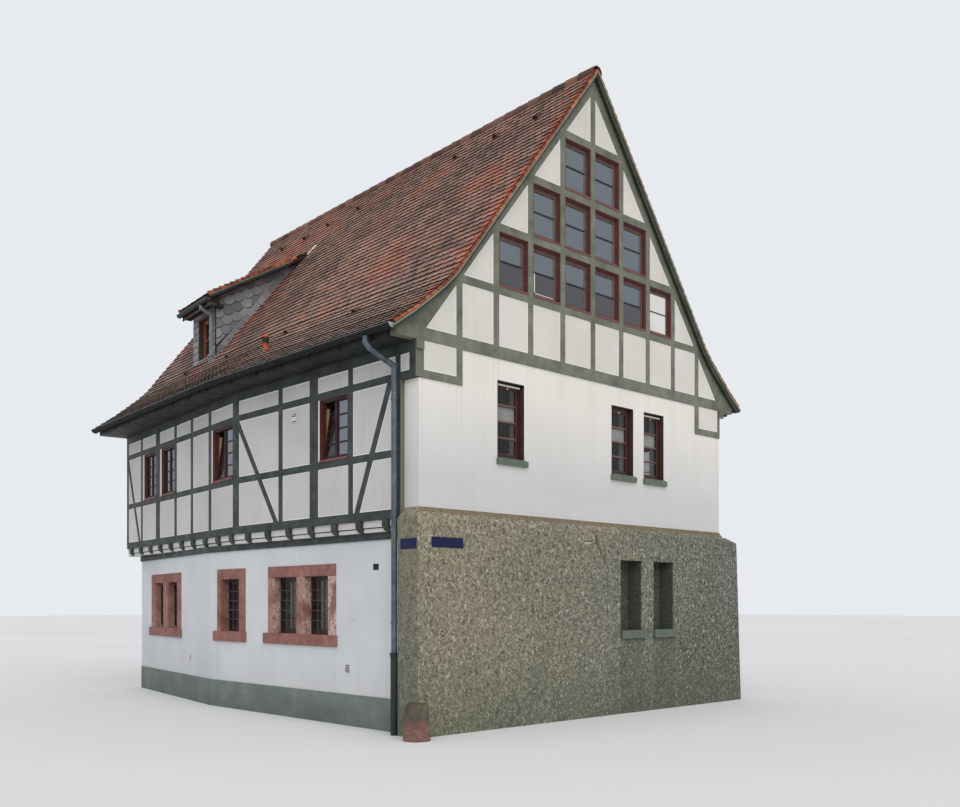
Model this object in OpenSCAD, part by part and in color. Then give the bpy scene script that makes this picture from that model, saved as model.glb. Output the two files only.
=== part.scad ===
// Half timbered house: a rendered masonry ground floor, a jettied timber storey that bends
// along the street, a timber gable over a masonry end wall, and a steep bell-cast tiled roof
// with one shed dormer.
// Axes: +X runs along the house towards the gable end, -Y faces the street, +Z is up.
// The base is at z = 0, the lowest point where the walls meet the ground.

/* [Plan] */
// Width of the gable end
gable_w = 8300; // [6000:10:10000]
// Length of the street front from the gable to the bend
front_len = 5380; // [4000:10:7000]
// Length of the street front beyond the bend
rear_len = 6560; // [5000:10:8000]
// Bend of the upper storey, degrees
bend_up = 6.6; // [2:0.1:9]
// Bend of the ground floor wall, degrees
bend_gf = 10; // [6:0.1:12]
// Rise of the back wall line per metre of length
back_skew = 30; // [10:1:60]
// How far the upper storey stands out over the street wall
jetty = 145; // [60:5:260]
// How far the ground floor bend lies beyond the upper bend
bend_shift = 1260; // [800:10:1600]
// How far the upper storey stands out over the rear wall
rear_jetty = 200; // [60:5:300]
// How far the timber front stands proud of the end of the gable wall
corner_step = 85; // [40:5:140]

/* [Levels] */
// Top of the grey base strip
strip_top = 530; // [300:10:800]
// Top of the ground floor slab
slab_top = 420; // [300:10:520]
// Underside of the jetty plate
plate_z = 3090; // [2700:10:3400]
// Depth of the jetty plate
plate_h = 120; // [90:5:180]
// Depth of the jetty joists
joist_h = 187; // [140:1:240]
// Depth of the sill beam
sill_h = 148; // [110:1:200]
// Height of the first bay, sill beam to mid rail
bay1_h = 820; // [650:10:1000]
// Depth of the rails
rail_h = 120; // [90:5:160]
// Height of the window bay, mid rail to head rail
bay2_h = 1072; // [900:1:1300]
// Height of the knee panels over the head rail
knee_h = 268; // [180:1:400]
// Depth of the wall plate under the roof
top_plate_h = 185; // [120:5:240]
// Depth of the gable tie beam
tie_h = 205; // [150:5:260]

/* [Walls] */
// Thickness of the gable end masonry
gable_t = 350; // [250:10:500]
// Thickness of the other masonry walls
wall_t = 450; // [300:10:600]
// Thickness of the timber framing
frame_t = 150; // [110:5:200]
// Thickness of the infill panels
panel_t = 110; // [80:5:140]
// How far the infill lies behind the timber face
panel_set = 12; // [4:1:30]
// How far the gable framing stands proud of the masonry
gable_proud = 20; // [5:1:40]
// Projection of the roughcast plinth
plinth_t = 150; // [80:5:220]
// Height of the plinth's outer edge
plinth_z = 3380; // [3000:10:3700]
// Height where the weathering meets the wall
plinth_top = 3560; // [3200:10:3800]
// Length of the plinth past the far corner
plinth_run = 560; // [200:10:800]
// Thickness of the base strip
strip_t = 15; // [8:1:40]
// Floor board thickness
deck_t = 35; // [22:1:60]

/* [Gable frame] */
// Spacing of the gable posts
post_pitch = 827; // [700:1:1000]
// Width of the gable posts
post_w = 125; // [90:5:160]
// Distance from the tie beam's top to the first collar's top
collar_1 = 1000; // [800:5:1200]
// Spacing of the collars above
collar_pitch = 1047; // [850:1:1200]
// Depth of the collars
collar_h = 135; // [100:5:180]
// Drop of the rafters' inner edges under the line through the ends of the tie beam
rafter_drop = 162; // [100:1:240]

/* [Roof] */
// Height of the ridge
ridge_z = 11800; // [9500:10:13000]
// Height of the eaves edge
eave_z = 6290; // [5500:10:7000]
// How far the eaves reach past the timber front
eave_out = 500; // [300:10:800]
// How much more they reach at the rear
eave_grow = 220; // [0:10:300]
// How far the verge reaches past the gable
verge_out = 125; // [60:5:250]
// Thickness of the tiled roof slab, measured plumb
roof_t = 110; // [70:5:200]
// Thickness of the tiles at the eaves edge
edge_t = 25; // [15:1:60]
// Radius of the ridge tiles
ridge_r = 125; // [90:5:160]
// Depth of the barge boards, measured plumb
barge_h = 135; // [120:5:260]
// Thickness of the barge boards
barge_t = 32; // [20:1:50]
// Diameter of the gutters
gutter_d = 150; // [100:5:200]
// Width of the guard stone at the corner
guard_d = 420; // [300:20:500]
// Distance between the gutter brackets
bracket_gap = 850; // [600:50:1200]
// Wall thickness of the gutters
gutter_t = 4; // [2:0.5:8]
// Diameter of the downpipe
pipe_d = 95; // [70:5:120]
// Diameter of the cast-iron foot of the downpipe
foot_d = 116; // [90:2:140]
// Top of the cast-iron foot
foot_z = 1290; // [800:10:1600]

/* [Dormer] */
// Position of the dormer's near front corner along the house
dormer_x = 8235; // [7000:5:9500]
// Width of the dormer
dormer_w = 1280; // [900:10:1500]
// Distance of that corner behind the gable corner
dormer_y = 1070; // [700:10:1500]
// Height of the dormer's eaves edge
dormer_z = 8750; // [8300:10:9200]
// Slope of the dormer roof, degrees
dormer_slope = 30; // [20:0.5:38]
// Overhang of the dormer roof at each side
dormer_side = 250; // [150:5:400]
// Overhang of the dormer roof in front
dormer_out = 220; // [120:5:350]
// Thickness of the dormer front
dfront_t = 150; // [100:5:200]
// Width of the jambs beside the dormer window
djamb = 330; // [200:5:400]
// Diameter of the dormer gutter
dgutter_d = 130; // [90:5:150]
// Diameter of the dormer downpipe
dpipe_d = 80; // [60:5:100]

/* [Fit] */
// Gap left where one piece is seated on another
seat = 0.3; // [0.1:0.1:1]

/* [Hidden] */
// Gutter centre outside the eaves line; guard stone off the wall faces
gut = 20;
guard_gap = 149;
// Fall of the ridge tiles' underside, a little flatter than the slopes
ridge_fall = 1.2;
// Levels of the upper storey
joist_z = plate_z + plate_h;
sill_z = joist_z + joist_h;
sill_top = sill_z + sill_h;
mid_z = sill_top + bay1_h;
mid_top = mid_z + rail_h;
head_z = mid_top + bay2_h - 1;
head_top = head_z + rail_h;
knee_top = head_top + knee_h;
tie_z = knee_top + top_plate_h;
tie_top = tie_z + tie_h;

// Plan of the upper storey: near corner, bend, far corner, and the back corners
corner = [0, -corner_step];
bend = [-front_len, -corner_step];
dir2 = [-cos(bend_up), sin(bend_up)];
far = bend + rear_len * dir2;
dir3 = [sin(bend_up), cos(bend_up)];
back_dir = [-1, back_skew / 1000];
back_0 = [0, gable_w];
back_r = meet(far, dir3, back_0, back_dir);
rear_w = norm(back_r - far);
back_len = norm(back_r - [-gable_t, gable_w + gable_t * back_skew / 1000]);
back_a = atan(back_skew / 1000);

// Plan of the ground floor
street_y = jetty - corner_step;
gbend = [-front_len - bend_shift, street_y];
gdir = [-cos(bend_gf), sin(bend_gf)];
grear_p = far + rear_jetty * (-1) * dir2;
gfar = meet(gbend, gdir, grear_p, dir3);
gback_r = meet(grear_p, dir3, back_0, back_dir);

// Plan of the roof: ridge and eaves points at the three stations
ridge_dir = [-1, 0.0419];
ridge_0 = [verge_out, gable_w / 2 - verge_out * 0.0419];
eave_0 = [verge_out, -corner_step - eave_out];
ridge_1 = [-front_len, gable_w / 2 + front_len * 0.0419];
eave_1 = [-front_len, -corner_step - eave_out];
verge_p = far + 110 * dir2;
ridge_2 = meet(verge_p, dir3, ridge_1, ridge_dir);
eave_2 = verge_p - (eave_out + eave_grow) * dir3;
beave_0 = [verge_out, gable_w + eave_out + corner_step];
beave_2 = 2 * ridge_2 - eave_2;
beave_1 = meet(ridge_1, [0, 1], beave_0, beave_2 - beave_0);
// Ridge and eaves points along each slope, with steps between the stations
function steps(a, b, n) = [for (i = [1:n]) [a[0] + (b[0] - a[0]) * i / n, a[1] + (b[1] - a[1]) * i / n]];
street_st = concat([[ridge_0, eave_0]], steps([ridge_0, eave_0], [ridge_1, eave_1], 3),
    steps([ridge_1, eave_1], [ridge_2, eave_2], 5));
back_st = concat([[ridge_0, beave_0]], steps([ridge_0, beave_0], [ridge_1, beave_1], 3),
    steps([ridge_1, beave_1], [ridge_2, beave_2], 5));

// Slope profile: level distance from the ridge as a share of the half span, and height
roof_rise = (ridge_z - eave_z) / 5510;
slope_prof = [[0, ridge_z], [0.7307, eave_z + 1050 * roof_rise], [0.7835, eave_z + 800 * roof_rise],
    [0.8363, eave_z + 590 * roof_rise], [0.9145, eave_z + 290 * roof_rise], [1, eave_z]];

// Crossing of two plan lines, each a point and a direction
function meet(p, d, q, e) = p + d * ((q.x - p.x) * e.y - (q.y - p.y) * e.x) / (d.x * e.y - d.y * e.x);
function rev(v) = [for (i = [len(v) - 1:-1:0]) v[i]];
function left(d) = [-d.y, d.x] / norm(d);

// Points of one slope at a station, moved up by dz
function slope_line(r, g, dz) =
    [for (p = slope_prof) [r.x + (g.x - r.x) * p[0], r.y + (g.y - r.y) * p[0], p[1] + dz]];
// Closed section of a slab between two plumb offsets
function slab_sec(r, g, up, down) = concat(slope_line(r, g, up), rev(slope_line(r, g, -down)));
// Section of the tiled slab: thin at the eaves edge, where the tiles run out over the gutter
function tile_sec(r, g) = let (a = slope_line(r, g, 0), b = rev(slope_line(r, g, -roof_t)), n = len(a) - 1,
    t = a[n] + (a[n - 1] - a[n]) * 0.42) concat(a, [a[n] - [0, 0, edge_t], t - [0, 0, roof_t]],
    [for (i = [1:n]) b[i]]);

// Solid through a row of sections with equal point counts. The first h points of a section are
// its upper line; both lines are split along the same diagonals, and each end into convex faces
module skin(secs, flip = false, h = len(slope_prof)) {
    n = len(secs[0]);
    m = len(secs);
    pts = [for (s = secs) each s];
    side = [for (k = [0:m - 2], i = [0:n - 1], t = [0, 1])
        let (a = k * n + i, b = k * n + (i + 1) % n, c = a + n, d = b + n)
        i < h ? (t == 0 ? [a, b, d] : [a, d, c]) : (t == 0 ? [a, b, c] : [b, d, c])];
    cap = concat([for (i = [0:h - 3]) [i, i + 1, n - 2 - i, n - 1 - i]], [[for (i = [h - 2:n + 1 - h]) i]]);
    ends = [for (f = cap) each [rev(f), [for (i = f) (m - 1) * n + i]]];
    faces = concat(side, ends);
    polyhedron(pts, flip ? faces : [for (f = faces) rev(f)]);
}

// Slab of the whole street slope, or of the back slope
module street_slab() skin([for (s = street_st) tile_sec(s[0], s[1])], true);
module back_slab() skin([for (s = back_st) tile_sec(s[0], s[1])], false);
// Everything over the underside of the roof, used to trim walls against it
module over_roof(clear) {
    skin([for (s = past_ends(street_st)) slab_sec(s[0], s[1], 9000, roof_t + clear)], true);
    skin([for (s = past_ends(back_st)) slab_sec(s[0], s[1], 9000, roof_t + clear)], false);
}
// The stations with one more beyond each verge
function past_ends(st) = let (n = len(st) - 1, a = (st[0] - st[1]) / 5, b = (st[n] - st[n - 1]) / 3)
    concat([st[0] + a], st, [st[n] + b]);
// Everything under the tiles, used to seat what stands on the slopes
module under_slope(clear = seat) skin([for (s = street_st) slab_sec(s[0], s[1], clear, 6000)], true);
module under_back(clear = seat) skin([for (s = back_st) slab_sec(s[0], s[1], clear, 6000)], false);

// Places a wall drawing (x along the wall, y up) on the outer plane from p in direction d;
// the drawing is extruded inwards from depth a to depth b
module on_wall(p, d, a, b, flip = false) {
    ang = atan2(d.y, d.x);
    translate([p.x, p.y, 0]) rotate([0, 0, ang]) rotate([90, 0, 0])
        translate([0, 0, flip ? a : -b]) linear_extrude(b - a) children();
}
module bar(s0, s1, z0, z1) translate([s0, z0]) square([s1 - s0, z1 - z0]);
module post(s, w, z0, z1) bar(s - w / 2, s + w / 2, z0, z1);
module brace(s0, z0, s1, z1, w) {
    k = w / 2;
    polygon([[s0 - k, z0], [s0 + k, z0], [s1 + k, z1], [s1 - k, z1]]);
}

// Street front, part one: drawn from the gable corner, x positive towards the bend
l1_posts = [[1658, 125], [2730, 250], [3787, 130], [front_len - 62, 125]];
l1_windows = [[1732, 2555]];
l1_in = gable_t;
// Street front, part two: drawn from the bend
l2_posts = [[62, 125], [1280, 130], [2267, 120], [3232, 130], [4356, 250], [5461, 110],
    [rear_len - 62, 125]];
l2_windows = [[130, 1129], [3300, 4110], [4495, 5280]];

module rails(s0, s1) {
    bar(s0, s1, sill_z, sill_top);
    bar(s0, s1, mid_z, mid_top);
    bar(s0, s1, head_z, head_top);
    bar(s0, s1, knee_top, tie_z);
}
module l1_timbers() {
    rails(-gable_proud, front_len);
    for (p = l1_posts) post(p[0], p[1], sill_z, tie_z);
    post(l1_in + 60, 120, sill_z, tie_z);
    bar(-gable_proud, frame_t - gable_proud, head_z, tie_z);
    brace(front_len - 62, head_z, front_len - 1430, sill_top, 135);
    brace(1488, sill_top, 610, head_z, 135);
}
module l2_timbers() {
    rails(0, rear_len);
    for (p = l2_posts) post(p[0], p[1], sill_z, tie_z);
    brace(rear_len - 80, head_z, rear_len - 930, sill_top, 120);
}
module l1_field() bar(l1_in, front_len, sill_z, tie_z);
module l1_head() bar(-gable_proud, l1_in, head_z, tie_z);
module l2_field() bar(0, rear_len, sill_z, tie_z);
module window_bays(list) for (w = list) bar(w[0], w[1], mid_top, head_z);

module street_frame() {
    on_wall(corner, [-1, 0], 0, frame_t, true)
        difference() {
            intersection() { l1_timbers(); union() { l1_field(); l1_head(); } }
            window_bays(l1_windows);
        }
    difference() {
        on_wall(bend, dir2, 0, frame_t, true)
            difference() { l2_timbers(); window_bays(l2_windows); }
        bend_cut();
    }
}
// Mitre at the bend of the upper storey
module bend_cut() translate([bend.x - seat, -2000, 3000]) cube([3000, 4000, 5000]);
module street_panels() {
    on_wall(corner, [-1, 0], panel_set, panel_set + panel_t, true)
        difference() {
            union() { l1_field(); l1_head(); }
            l1_timbers();
            window_bays(l1_windows);
        }
    difference() {
        on_wall(bend, dir2, panel_set, panel_set + panel_t, true)
            difference() { l2_field(); l2_timbers(); window_bays(l2_windows); }
        bend_cut();
    }
}

// Rear gable: framed like the street side over a masonry ground floor
rear_posts = [for (i = [0:8]) frame_t + 62 + i * (rear_w - 2 * frame_t - 124) / 8];
module rear_timbers() {
    rails(0, rear_w);
    for (s = rear_posts) post(s, 120, sill_z, ridge_z);
    bar(0, rear_w, tie_z, tie_top);
    for (i = [0:3]) bar(0, rear_w, collar_z(i), collar_z(i) + collar_h);
}
rear_windows = [for (i = [1, 3, 4, 6]) [rear_posts[i] + 60, rear_posts[i + 1] - 60]];
rear_attic = [for (i = [3, 4]) [rear_posts[i] + 60, rear_posts[i + 1] - 60]];
module rear_holes() {
    window_bays(rear_windows);
    for (w = rear_attic) bar(w[0], w[1], collar_z(0) + collar_h, collar_z(1));
}
module rear_trim() {
    over_roof(seat);
    back_block(frame_t);
}
// Block beyond the inner face of the back wall
module back_block(t) {
    translate([back_0.x, back_0.y, 0]) rotate([0, 0, -back_a]) translate([-16000, -t - seat, -10])
        cube([17000, 4000, 14000]);
}
module rear_frame() {
    difference() {
        on_wall(far, dir3, 0, frame_t, true)
            difference() {
                intersection() { rear_timbers(); bar(frame_t, rear_w, sill_z, ridge_z); }
                rear_holes();
            }
        rear_trim();
    }
}
module rear_panels() {
    difference() {
        on_wall(far, dir3, panel_set, panel_set + panel_t, true)
            difference() {
                bar(frame_t, rear_w, sill_z, ridge_z);
                rear_timbers();
                rear_holes();
            }
        rear_trim();
    }
}

// Back wall: drawn from the far back corner towards the gable
back_posts = [for (i = [0:9]) 62 + i * (back_len - 124) / 9];
back_windows = [for (i = [1, 3, 5, 7]) [back_posts[i] + 60, back_posts[i + 1] - 60]];
module back_timbers() {
    rails(0, back_len);
    for (s = back_posts) post(s, 120, sill_z, tie_z);
    brace(back_posts[0] + 60, head_z, back_posts[1] - 120, sill_top, 120);
    brace(back_posts[9] - 60, head_z, back_posts[8] + 120, sill_top, 120);
}
module back_frame() {
    on_wall(back_r, -back_dir, 0, frame_t, true)
        difference() { back_timbers(); window_bays(back_windows); }
}
module back_panels() {
    on_wall(back_r, -back_dir, panel_set, panel_set + panel_t, true)
        difference() {
            bar(0, back_len, sill_z, tie_z);
            back_timbers();
            window_bays(back_windows);
        }
}

// Gable: drawn in plan y and height, centred on the middle post
post_c = gable_w / 2 - 8;
function post_y(i) = post_c + i * post_pitch;
function collar_z(i) = tie_top + collar_1 - collar_h + i * collar_pitch;
stub_w = post_y(-4) + post_w / 2;
stub_z = head_z - 4;
attic_rows = [[0, 3], [1, 2], [2, 1]];
module gable_post(i, z0, z1) post(post_y(i), post_w, z0, z1);
// Inner edges of the gable rafters
rafter_rise = 1.2619;
rafter_top = tie_top + post_c * rafter_rise - rafter_drop;
module rafter_zone() {
    difference() {
        translate([-1000, tie_z]) square([gable_w + 2000, ridge_z - tie_z]);
        polygon([[post_c - (rafter_top - tie_z) / rafter_rise, tie_z], [post_c, rafter_top],
            [post_c + (rafter_top - tie_z) / rafter_rise, tie_z]]);
    }
}
module gable_timbers() {
    rafter_zone();
    bar(-1000, gable_w + 1000, tie_z, tie_top);
    for (i = [0:3]) bar(0, gable_w, collar_z(i), collar_z(i) + collar_h);
    for (i = [-4:4]) gable_post(i, tie_z, collar_z(0) + 10);
    for (i = [-3:3]) gable_post(i, collar_z(0), collar_z(1) + 10);
    for (i = [-2:2]) gable_post(i, collar_z(1), collar_z(2) + 10);
    for (i = [-1:1]) gable_post(i, collar_z(2), collar_z(3) + 10);
    gable_post(0, collar_z(3), ridge_z);
}
module attic_holes() {
    for (r = attic_rows, i = [-r[1]:r[1] - 1])
        bar(post_y(i) + post_w / 2, post_y(i + 1) - post_w / 2, collar_z(r[0]) + collar_h,
            collar_z(r[0] + 1));
}
// Small framed corner under each end of the tie beam
module stub_timbers(side) {
    w = stub_w;
    s0 = side < 0 ? frame_t - corner_step + seat : 0;
    translate([side < 0 ? 0 : gable_w, 0]) scale([side < 0 ? 1 : -1, 1]) {
        bar(s0, w, stub_z, head_top);
        bar(w - post_w, w, stub_z, tie_z);
        bar(s0, side < 0 ? s0 + 20 : 78, stub_z, tie_z);
    }
}
module stub_field(side) {
    s0 = side < 0 ? frame_t - corner_step + seat : 0;
    translate([side < 0 ? 0 : gable_w - stub_w, 0]) bar(s0, stub_w, stub_z, tie_z);
}
// Extrudes a gable drawing from depth a to depth b behind the timber face
module on_gable(a, b) {
    translate([gable_proud - b, 0, 0]) rotate([90, 0, 90]) linear_extrude(b - a) children();
}
module gable_frame() {
    difference() {
        union() {
            on_gable(0, frame_t) difference() { gable_timbers(); attic_holes(); }
            on_gable(0, frame_t) for (s = [-1, 1]) stub_timbers(s);
        }
        over_roof(seat);
        // Tie and rafters stop short of the gutters
        translate([-500, -3000, tie_z - 1]) cube([1000, 3000 - corner_step - eave_out + 110, 9000]);
        translate([-500, gable_w + corner_step + eave_out - 110, tie_z - 1]) cube([1000, 3000, 9000]);
    }
    // Plate ends under the tie beam
    for (y = [-corner_step, gable_w - 60])
        translate([gable_proud + seat, y, tie_z - 150]) cube([40, 145, 150 - seat]);
}
module gable_panels() {
    difference() {
        union() {
            on_gable(panel_set, panel_set + panel_t)
                difference() { bar(0, gable_w, tie_z, ridge_z); gable_timbers(); attic_holes(); }
            on_gable(panel_set, panel_set + panel_t)
                for (s = [-1, 1]) difference() { stub_field(s); stub_timbers(s); }
        }
        over_roof(seat);
    }
}

// Masonry end wall with its three tall windows and the two niches in the plinth
gw_z = 4470;
gw_h = 1305;
gw_list = [[1698, 645], [4699, 661], [5687, 648]];
niche_list = [[4781, 641], [5799, 651]];
niche_z = 1556;
niche_h = 1314;
niche_d = 330;
niche_coat = 20;
// Room of both niches, larger by c on every side, from its back outwards by d
module niche_box(c, d) for (n = niche_list) translate([plinth_t - niche_d - c, n[0] - c, niche_z - c])
    cube([d + c, n[1] + 2 * c, niche_h + 2 * c]);
module gable_wall() {
    difference() {
        translate([-gable_t, 0, 0]) cube([gable_t, gable_w, tie_z - seat]);
        for (w = gw_list) translate([-gable_t - 1, w[0], gw_z]) cube([gable_t + 2, w[1], gw_h]);
        niche_box(niche_coat + seat, gable_t);
        for (y = [-1, gable_w - stub_w]) translate([-gable_t - 1, y, stub_z - seat])
            cube([gable_t + 2, stub_w + 1, tie_z]);
    }
    // Backing of the corner frames
    for (y = [0, gable_w - stub_w]) translate([-gable_t, y + (y == 0 ? frame_t : 0), stub_z - seat])
        cube([gable_t - frame_t, stub_w - frame_t, tie_z - stub_z]);
}
module plinth_profile(y) {
    polygon([[0, 0], [plinth_t, 0], [plinth_t, plinth_z], [0, plinth_top]]);
}
module gable_plinth() {
    difference() {
        union() {
            // Gable side, mitred at the street corner
            intersection() {
                translate([0, -corner_step - 65, 0]) rotate([90, 0, 180]) mirror([1, 0, 0])
                    linear_extrude(gable_w + corner_step + 65) plinth_profile();
                translate([-1, 0, 0]) rotate([90, 0, 90]) linear_extrude(plinth_t + 2)
                    polygon([[-corner_step - 65, 0], [gable_w + 1, 0], [gable_w + 1, plinth_top],
                        [0, plinth_top], [-corner_step - 65, plinth_z]]);
            }
            // Return round the street corner
            translate([-gable_t + 10, -corner_step - 65, 0])
                cube([gable_t - 10, corner_step + 65, plinth_z]);
            translate([-gable_t + 10, 0, 0]) rotate([90, 0, 90]) linear_extrude(gable_t - 10)
                polygon([[0, plinth_z - 10], [-corner_step - 65, plinth_z - 10],
                    [-corner_step - 65, plinth_z], [0, plinth_top]]);
            // Battered end past the far corner
            translate([-gable_t, gable_w, 0]) rotate([90, 0, 90]) linear_extrude(gable_t + plinth_t)
                polygon([[0, 0], [plinth_run + 60, 0], [plinth_run - 120, plinth_z - 40],
                    [0, plinth_z + 60]]);
        }
        niche_box(0, niche_d + 10);
        translate([-gable_t + seat, seat, -1]) cube([gable_t - seat, gable_w - 2 * seat, 9000]);
    }
    // The coat goes on into the niches
    difference() {
        niche_box(niche_coat, niche_d - plinth_t + 2);
        niche_box(0, niche_d + 10);
    }
}

// Ground floor walls, outer line offset inwards by their thickness
street_in1 = [-gable_t, street_y + wall_t];
gbend_in = meet([0, street_y + wall_t], [-1, 0], gbend + wall_t * left(-gdir), gdir);
gfar_in = meet(gbend + wall_t * left(-gdir), gdir, grear_p + wall_t * [cos(bend_up), -sin(bend_up)], dir3);
gback_in = meet(grear_p + wall_t * [cos(bend_up), -sin(bend_up)], dir3, back_0 - [0, wall_t], back_dir);
back_in0 = meet(back_0 - [0, wall_t], back_dir, [-gable_t, 0], [0, 1]);
back_out0 = meet(back_0, back_dir, [-gable_t, 0], [0, 1]);
// Street window openings: start and end along each wall, measured from the bend or the gable
gf_z = 1510;
gf_h = 1030;
gf_l1 = [[3473, 4260], [2492, 3250], [5482, 6176]];
gf_l2 = [[2195, 2850], [3250, 3900]];
surround_l1 = [[2265, 4426, 2233, 4573], [5246, 6328, 5220, 6469]];
surround_l2 = [[1904, 4209, 1868, 4355]];
surround_top = 2740;
sill_block = 195;
module street_wall() {
    difference() {
        linear_extrude(plate_z - seat) polygon([[-gable_t - seat, street_y], gbend, gfar, gfar_in, gbend_in,
            [-gable_t - seat, street_y + wall_t]]);
        on_wall([0, street_y], [-1, 0], -10, wall_t + 80, true)
            for (w = gf_l1) bar(w[0], w[1], gf_z, gf_z + gf_h);
        on_wall(gbend, gdir, -10, wall_t + 80, true) for (w = gf_l2) bar(w[0], w[1], gf_z, gf_z + gf_h);
        surround_cut(0.3);
        on_wall([0, street_y], [-1, 0], -10, 120, true) bar(1083, 1236, 2603, 2708);
    }
}
// Sandstone surrounds, let into the wall and standing a little proud
module l1_face(a = -12, b = 150) on_wall([0, street_y], [-1, 0], a, b, true) children();
module l2_face(a = -12, b = 150) on_wall(gbend, gdir, a, b, true) children();
module surround_cut(c) {
    for (w = surround_l1) l1_face(-12, 150 + c) {
        bar(w[0] - c, w[1] + c, gf_z, surround_top + c);
        bar(w[2] - c, w[3] + c, gf_z - sill_block - c, gf_z);
    }
    for (w = surround_l2) l2_face(-12, 150 + c) {
        bar(w[0] - c, w[1] + c, gf_z, surround_top + c);
        bar(w[2] - c, w[3] + c, gf_z - sill_block - c, gf_z);
    }
}
module stone_surrounds() {
    for (w = surround_l1) {
        l1_face() difference() {
            bar(w[0], w[1], gf_z, surround_top);
            for (o = gf_l1) bar(o[0], o[1], gf_z - 1, gf_z + gf_h);
        }
        l1_face(-35) bar(w[2], w[3], gf_z - sill_block, gf_z);
    }
    for (w = surround_l2) {
        l2_face() difference() {
            bar(w[0], w[1], gf_z, surround_top);
            for (o = gf_l2) bar(o[0], o[1], gf_z - 1, gf_z + gf_h);
        }
        l2_face(-35) bar(w[2], w[3], gf_z - sill_block, gf_z);
    }
}
module base_strip() {
    linear_extrude(strip_top) polygon([[-gable_t - seat, street_y], gbend, gfar,
        gfar - strip_t * left(-gdir), gbend - strip_t * [0.09, 0.996],
        [-gable_t - seat, street_y - strip_t]]);
}
module rear_wall() {
    linear_extrude(plate_z + plate_h - seat)
        polygon([gfar_in + seat * dir3, gfar + seat * dir3, gback_r, gback_in]);
}
door_x = [5200, 6250];
module back_wall() {
    difference() {
        linear_extrude(plate_z + plate_h - seat)
            polygon([gback_in + [seat, 0], gback_r + [seat, 0], back_out0, back_in0]);
        on_back(-10, wall_t + 20) {
            bar(door_x[0], door_x[1], slab_top, slab_top + 2150);
            for (s = [1500, 3000, 8200]) bar(s, s + 760, gf_z, gf_z + gf_h);
        }
    }
}
module on_back(a, b) on_wall(gback_r, -back_dir, a, b, true) children();
module ground_slab() {
    translate([0, 0, slab_top - 120]) linear_extrude(120)
        polygon([[-gable_t - seat, street_y + wall_t + seat], gbend_in + [0, seat], gfar_in + [seat, seat],
            gback_in + [seat, -seat], back_in0 - [seat, seat]]);
}
// Plate, joists and the infill between their ends
plate_in = 150;
module wall_plate() {
    p0 = [-gable_t - 60, street_y - 30];
    a = gbend - 30 * left(-gdir);
    b = gfar - 30 * left(-gdir);
    k = meet(p0, [-1, 0], a, gdir);
    k_in = meet(p0 + [0, plate_in], [-1, 0], a + plate_in * left(-gdir), gdir);
    e = gfar - 2 * gdir;
    b_out = meet(b, gdir, e, gfar_in - gfar);
    b_in = meet(b + plate_in * left(-gdir), gdir, e, gfar_in - gfar);
    translate([0, 0, plate_z]) linear_extrude(plate_h - seat)
        polygon([p0, k, b_out, b_in, k_in, p0 + [0, plate_in]]);
}
joist_w = 140;
joist_l = 1500;
joists_l1 = [for (i = [0:6]) 717 + 700 * i];
joists_l2 = [for (i = [0:9]) 200 + 666.7 * i];
module joist() {
    // Side profile: x runs inwards from the face, y up; the lower front corner is rounded
    rotate([90, 0, 90]) translate([0, 0, -joist_w / 2]) linear_extrude(joist_w)
        difference() {
            translate([-28, 0]) square([joist_l, joist_h - seat]);
            difference() {
                translate([-29, -1]) square([125, 125]);
                translate([96, 124]) circle(r = 124, $fn = 48);
            }
        }
}
module jetty_joists() {
    for (s = joists_l1) translate([-s, corner.y, joist_z]) joist();
    for (s = joists_l2) translate([bend.x + s * dir2.x, bend.y + s * dir2.y, joist_z])
        rotate([0, 0, -bend_up]) joist();
}
module jetty_infill() {
    difference() {
        union() {
            on_wall(corner + [-gable_t, 0], [-1, 0], 70, 190, true)
                bar(60, front_len - gable_t, joist_z, sill_z - seat);
            // Half-round moulding
            translate([corner.x - gable_t - 60, corner.y + 70, joist_z + 70]) rotate([0, -90, 0])
                cylinder(r = 22, h = front_len - gable_t - 60, $fn = 24);
        }
        for (s = joists_l1) translate([-s - joist_w / 2 - seat, corner.y - 100, joist_z - 10])
            cube([joist_w + 2 * seat, 1000, 400]);
    }
    difference() {
        union() {
            on_wall(bend, dir2, 70, 190, true) bar(0, rear_len, joist_z, sill_z - seat);
            translate([bend.x, bend.y + 70, joist_z + 70]) rotate([0, 0, 180 - bend_up])
                rotate([0, 90, 0]) cylinder(r = 22, h = rear_len, $fn = 24);
        }
        bend_cut();
        for (s = joists_l2) translate([bend.x + s * dir2.x, bend.y + s * dir2.y, joist_z - 10])
            rotate([0, 0, -bend_up]) translate([-joist_w / 2 - seat, -100, 0])
                cube([joist_w + 2 * seat, 1000, 400]);
    }
}
module upper_floor() {
    translate([0, 0, sill_z]) linear_extrude(deck_t)
        polygon([[-gable_t - seat, corner.y + frame_t + seat], bend + [0, frame_t + 2],
            far + (frame_t + 2) * dir3 + [frame_t + 10, 0], back_r + [frame_t + 30, -frame_t - 30],
            [-gable_t - seat, gable_w - frame_t - 20]]);
}
module attic_floor() {
    translate([0, 0, tie_z + seat]) linear_extrude(deck_t)
        polygon([[gable_proud - frame_t - seat, corner.y + 10], bend + [0, 10],
            far + 10 * dir3 + [frame_t + 5, 0], back_r + [frame_t + 5, -20],
            [gable_proud - frame_t - seat, gable_w - 20]]);
}

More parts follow.
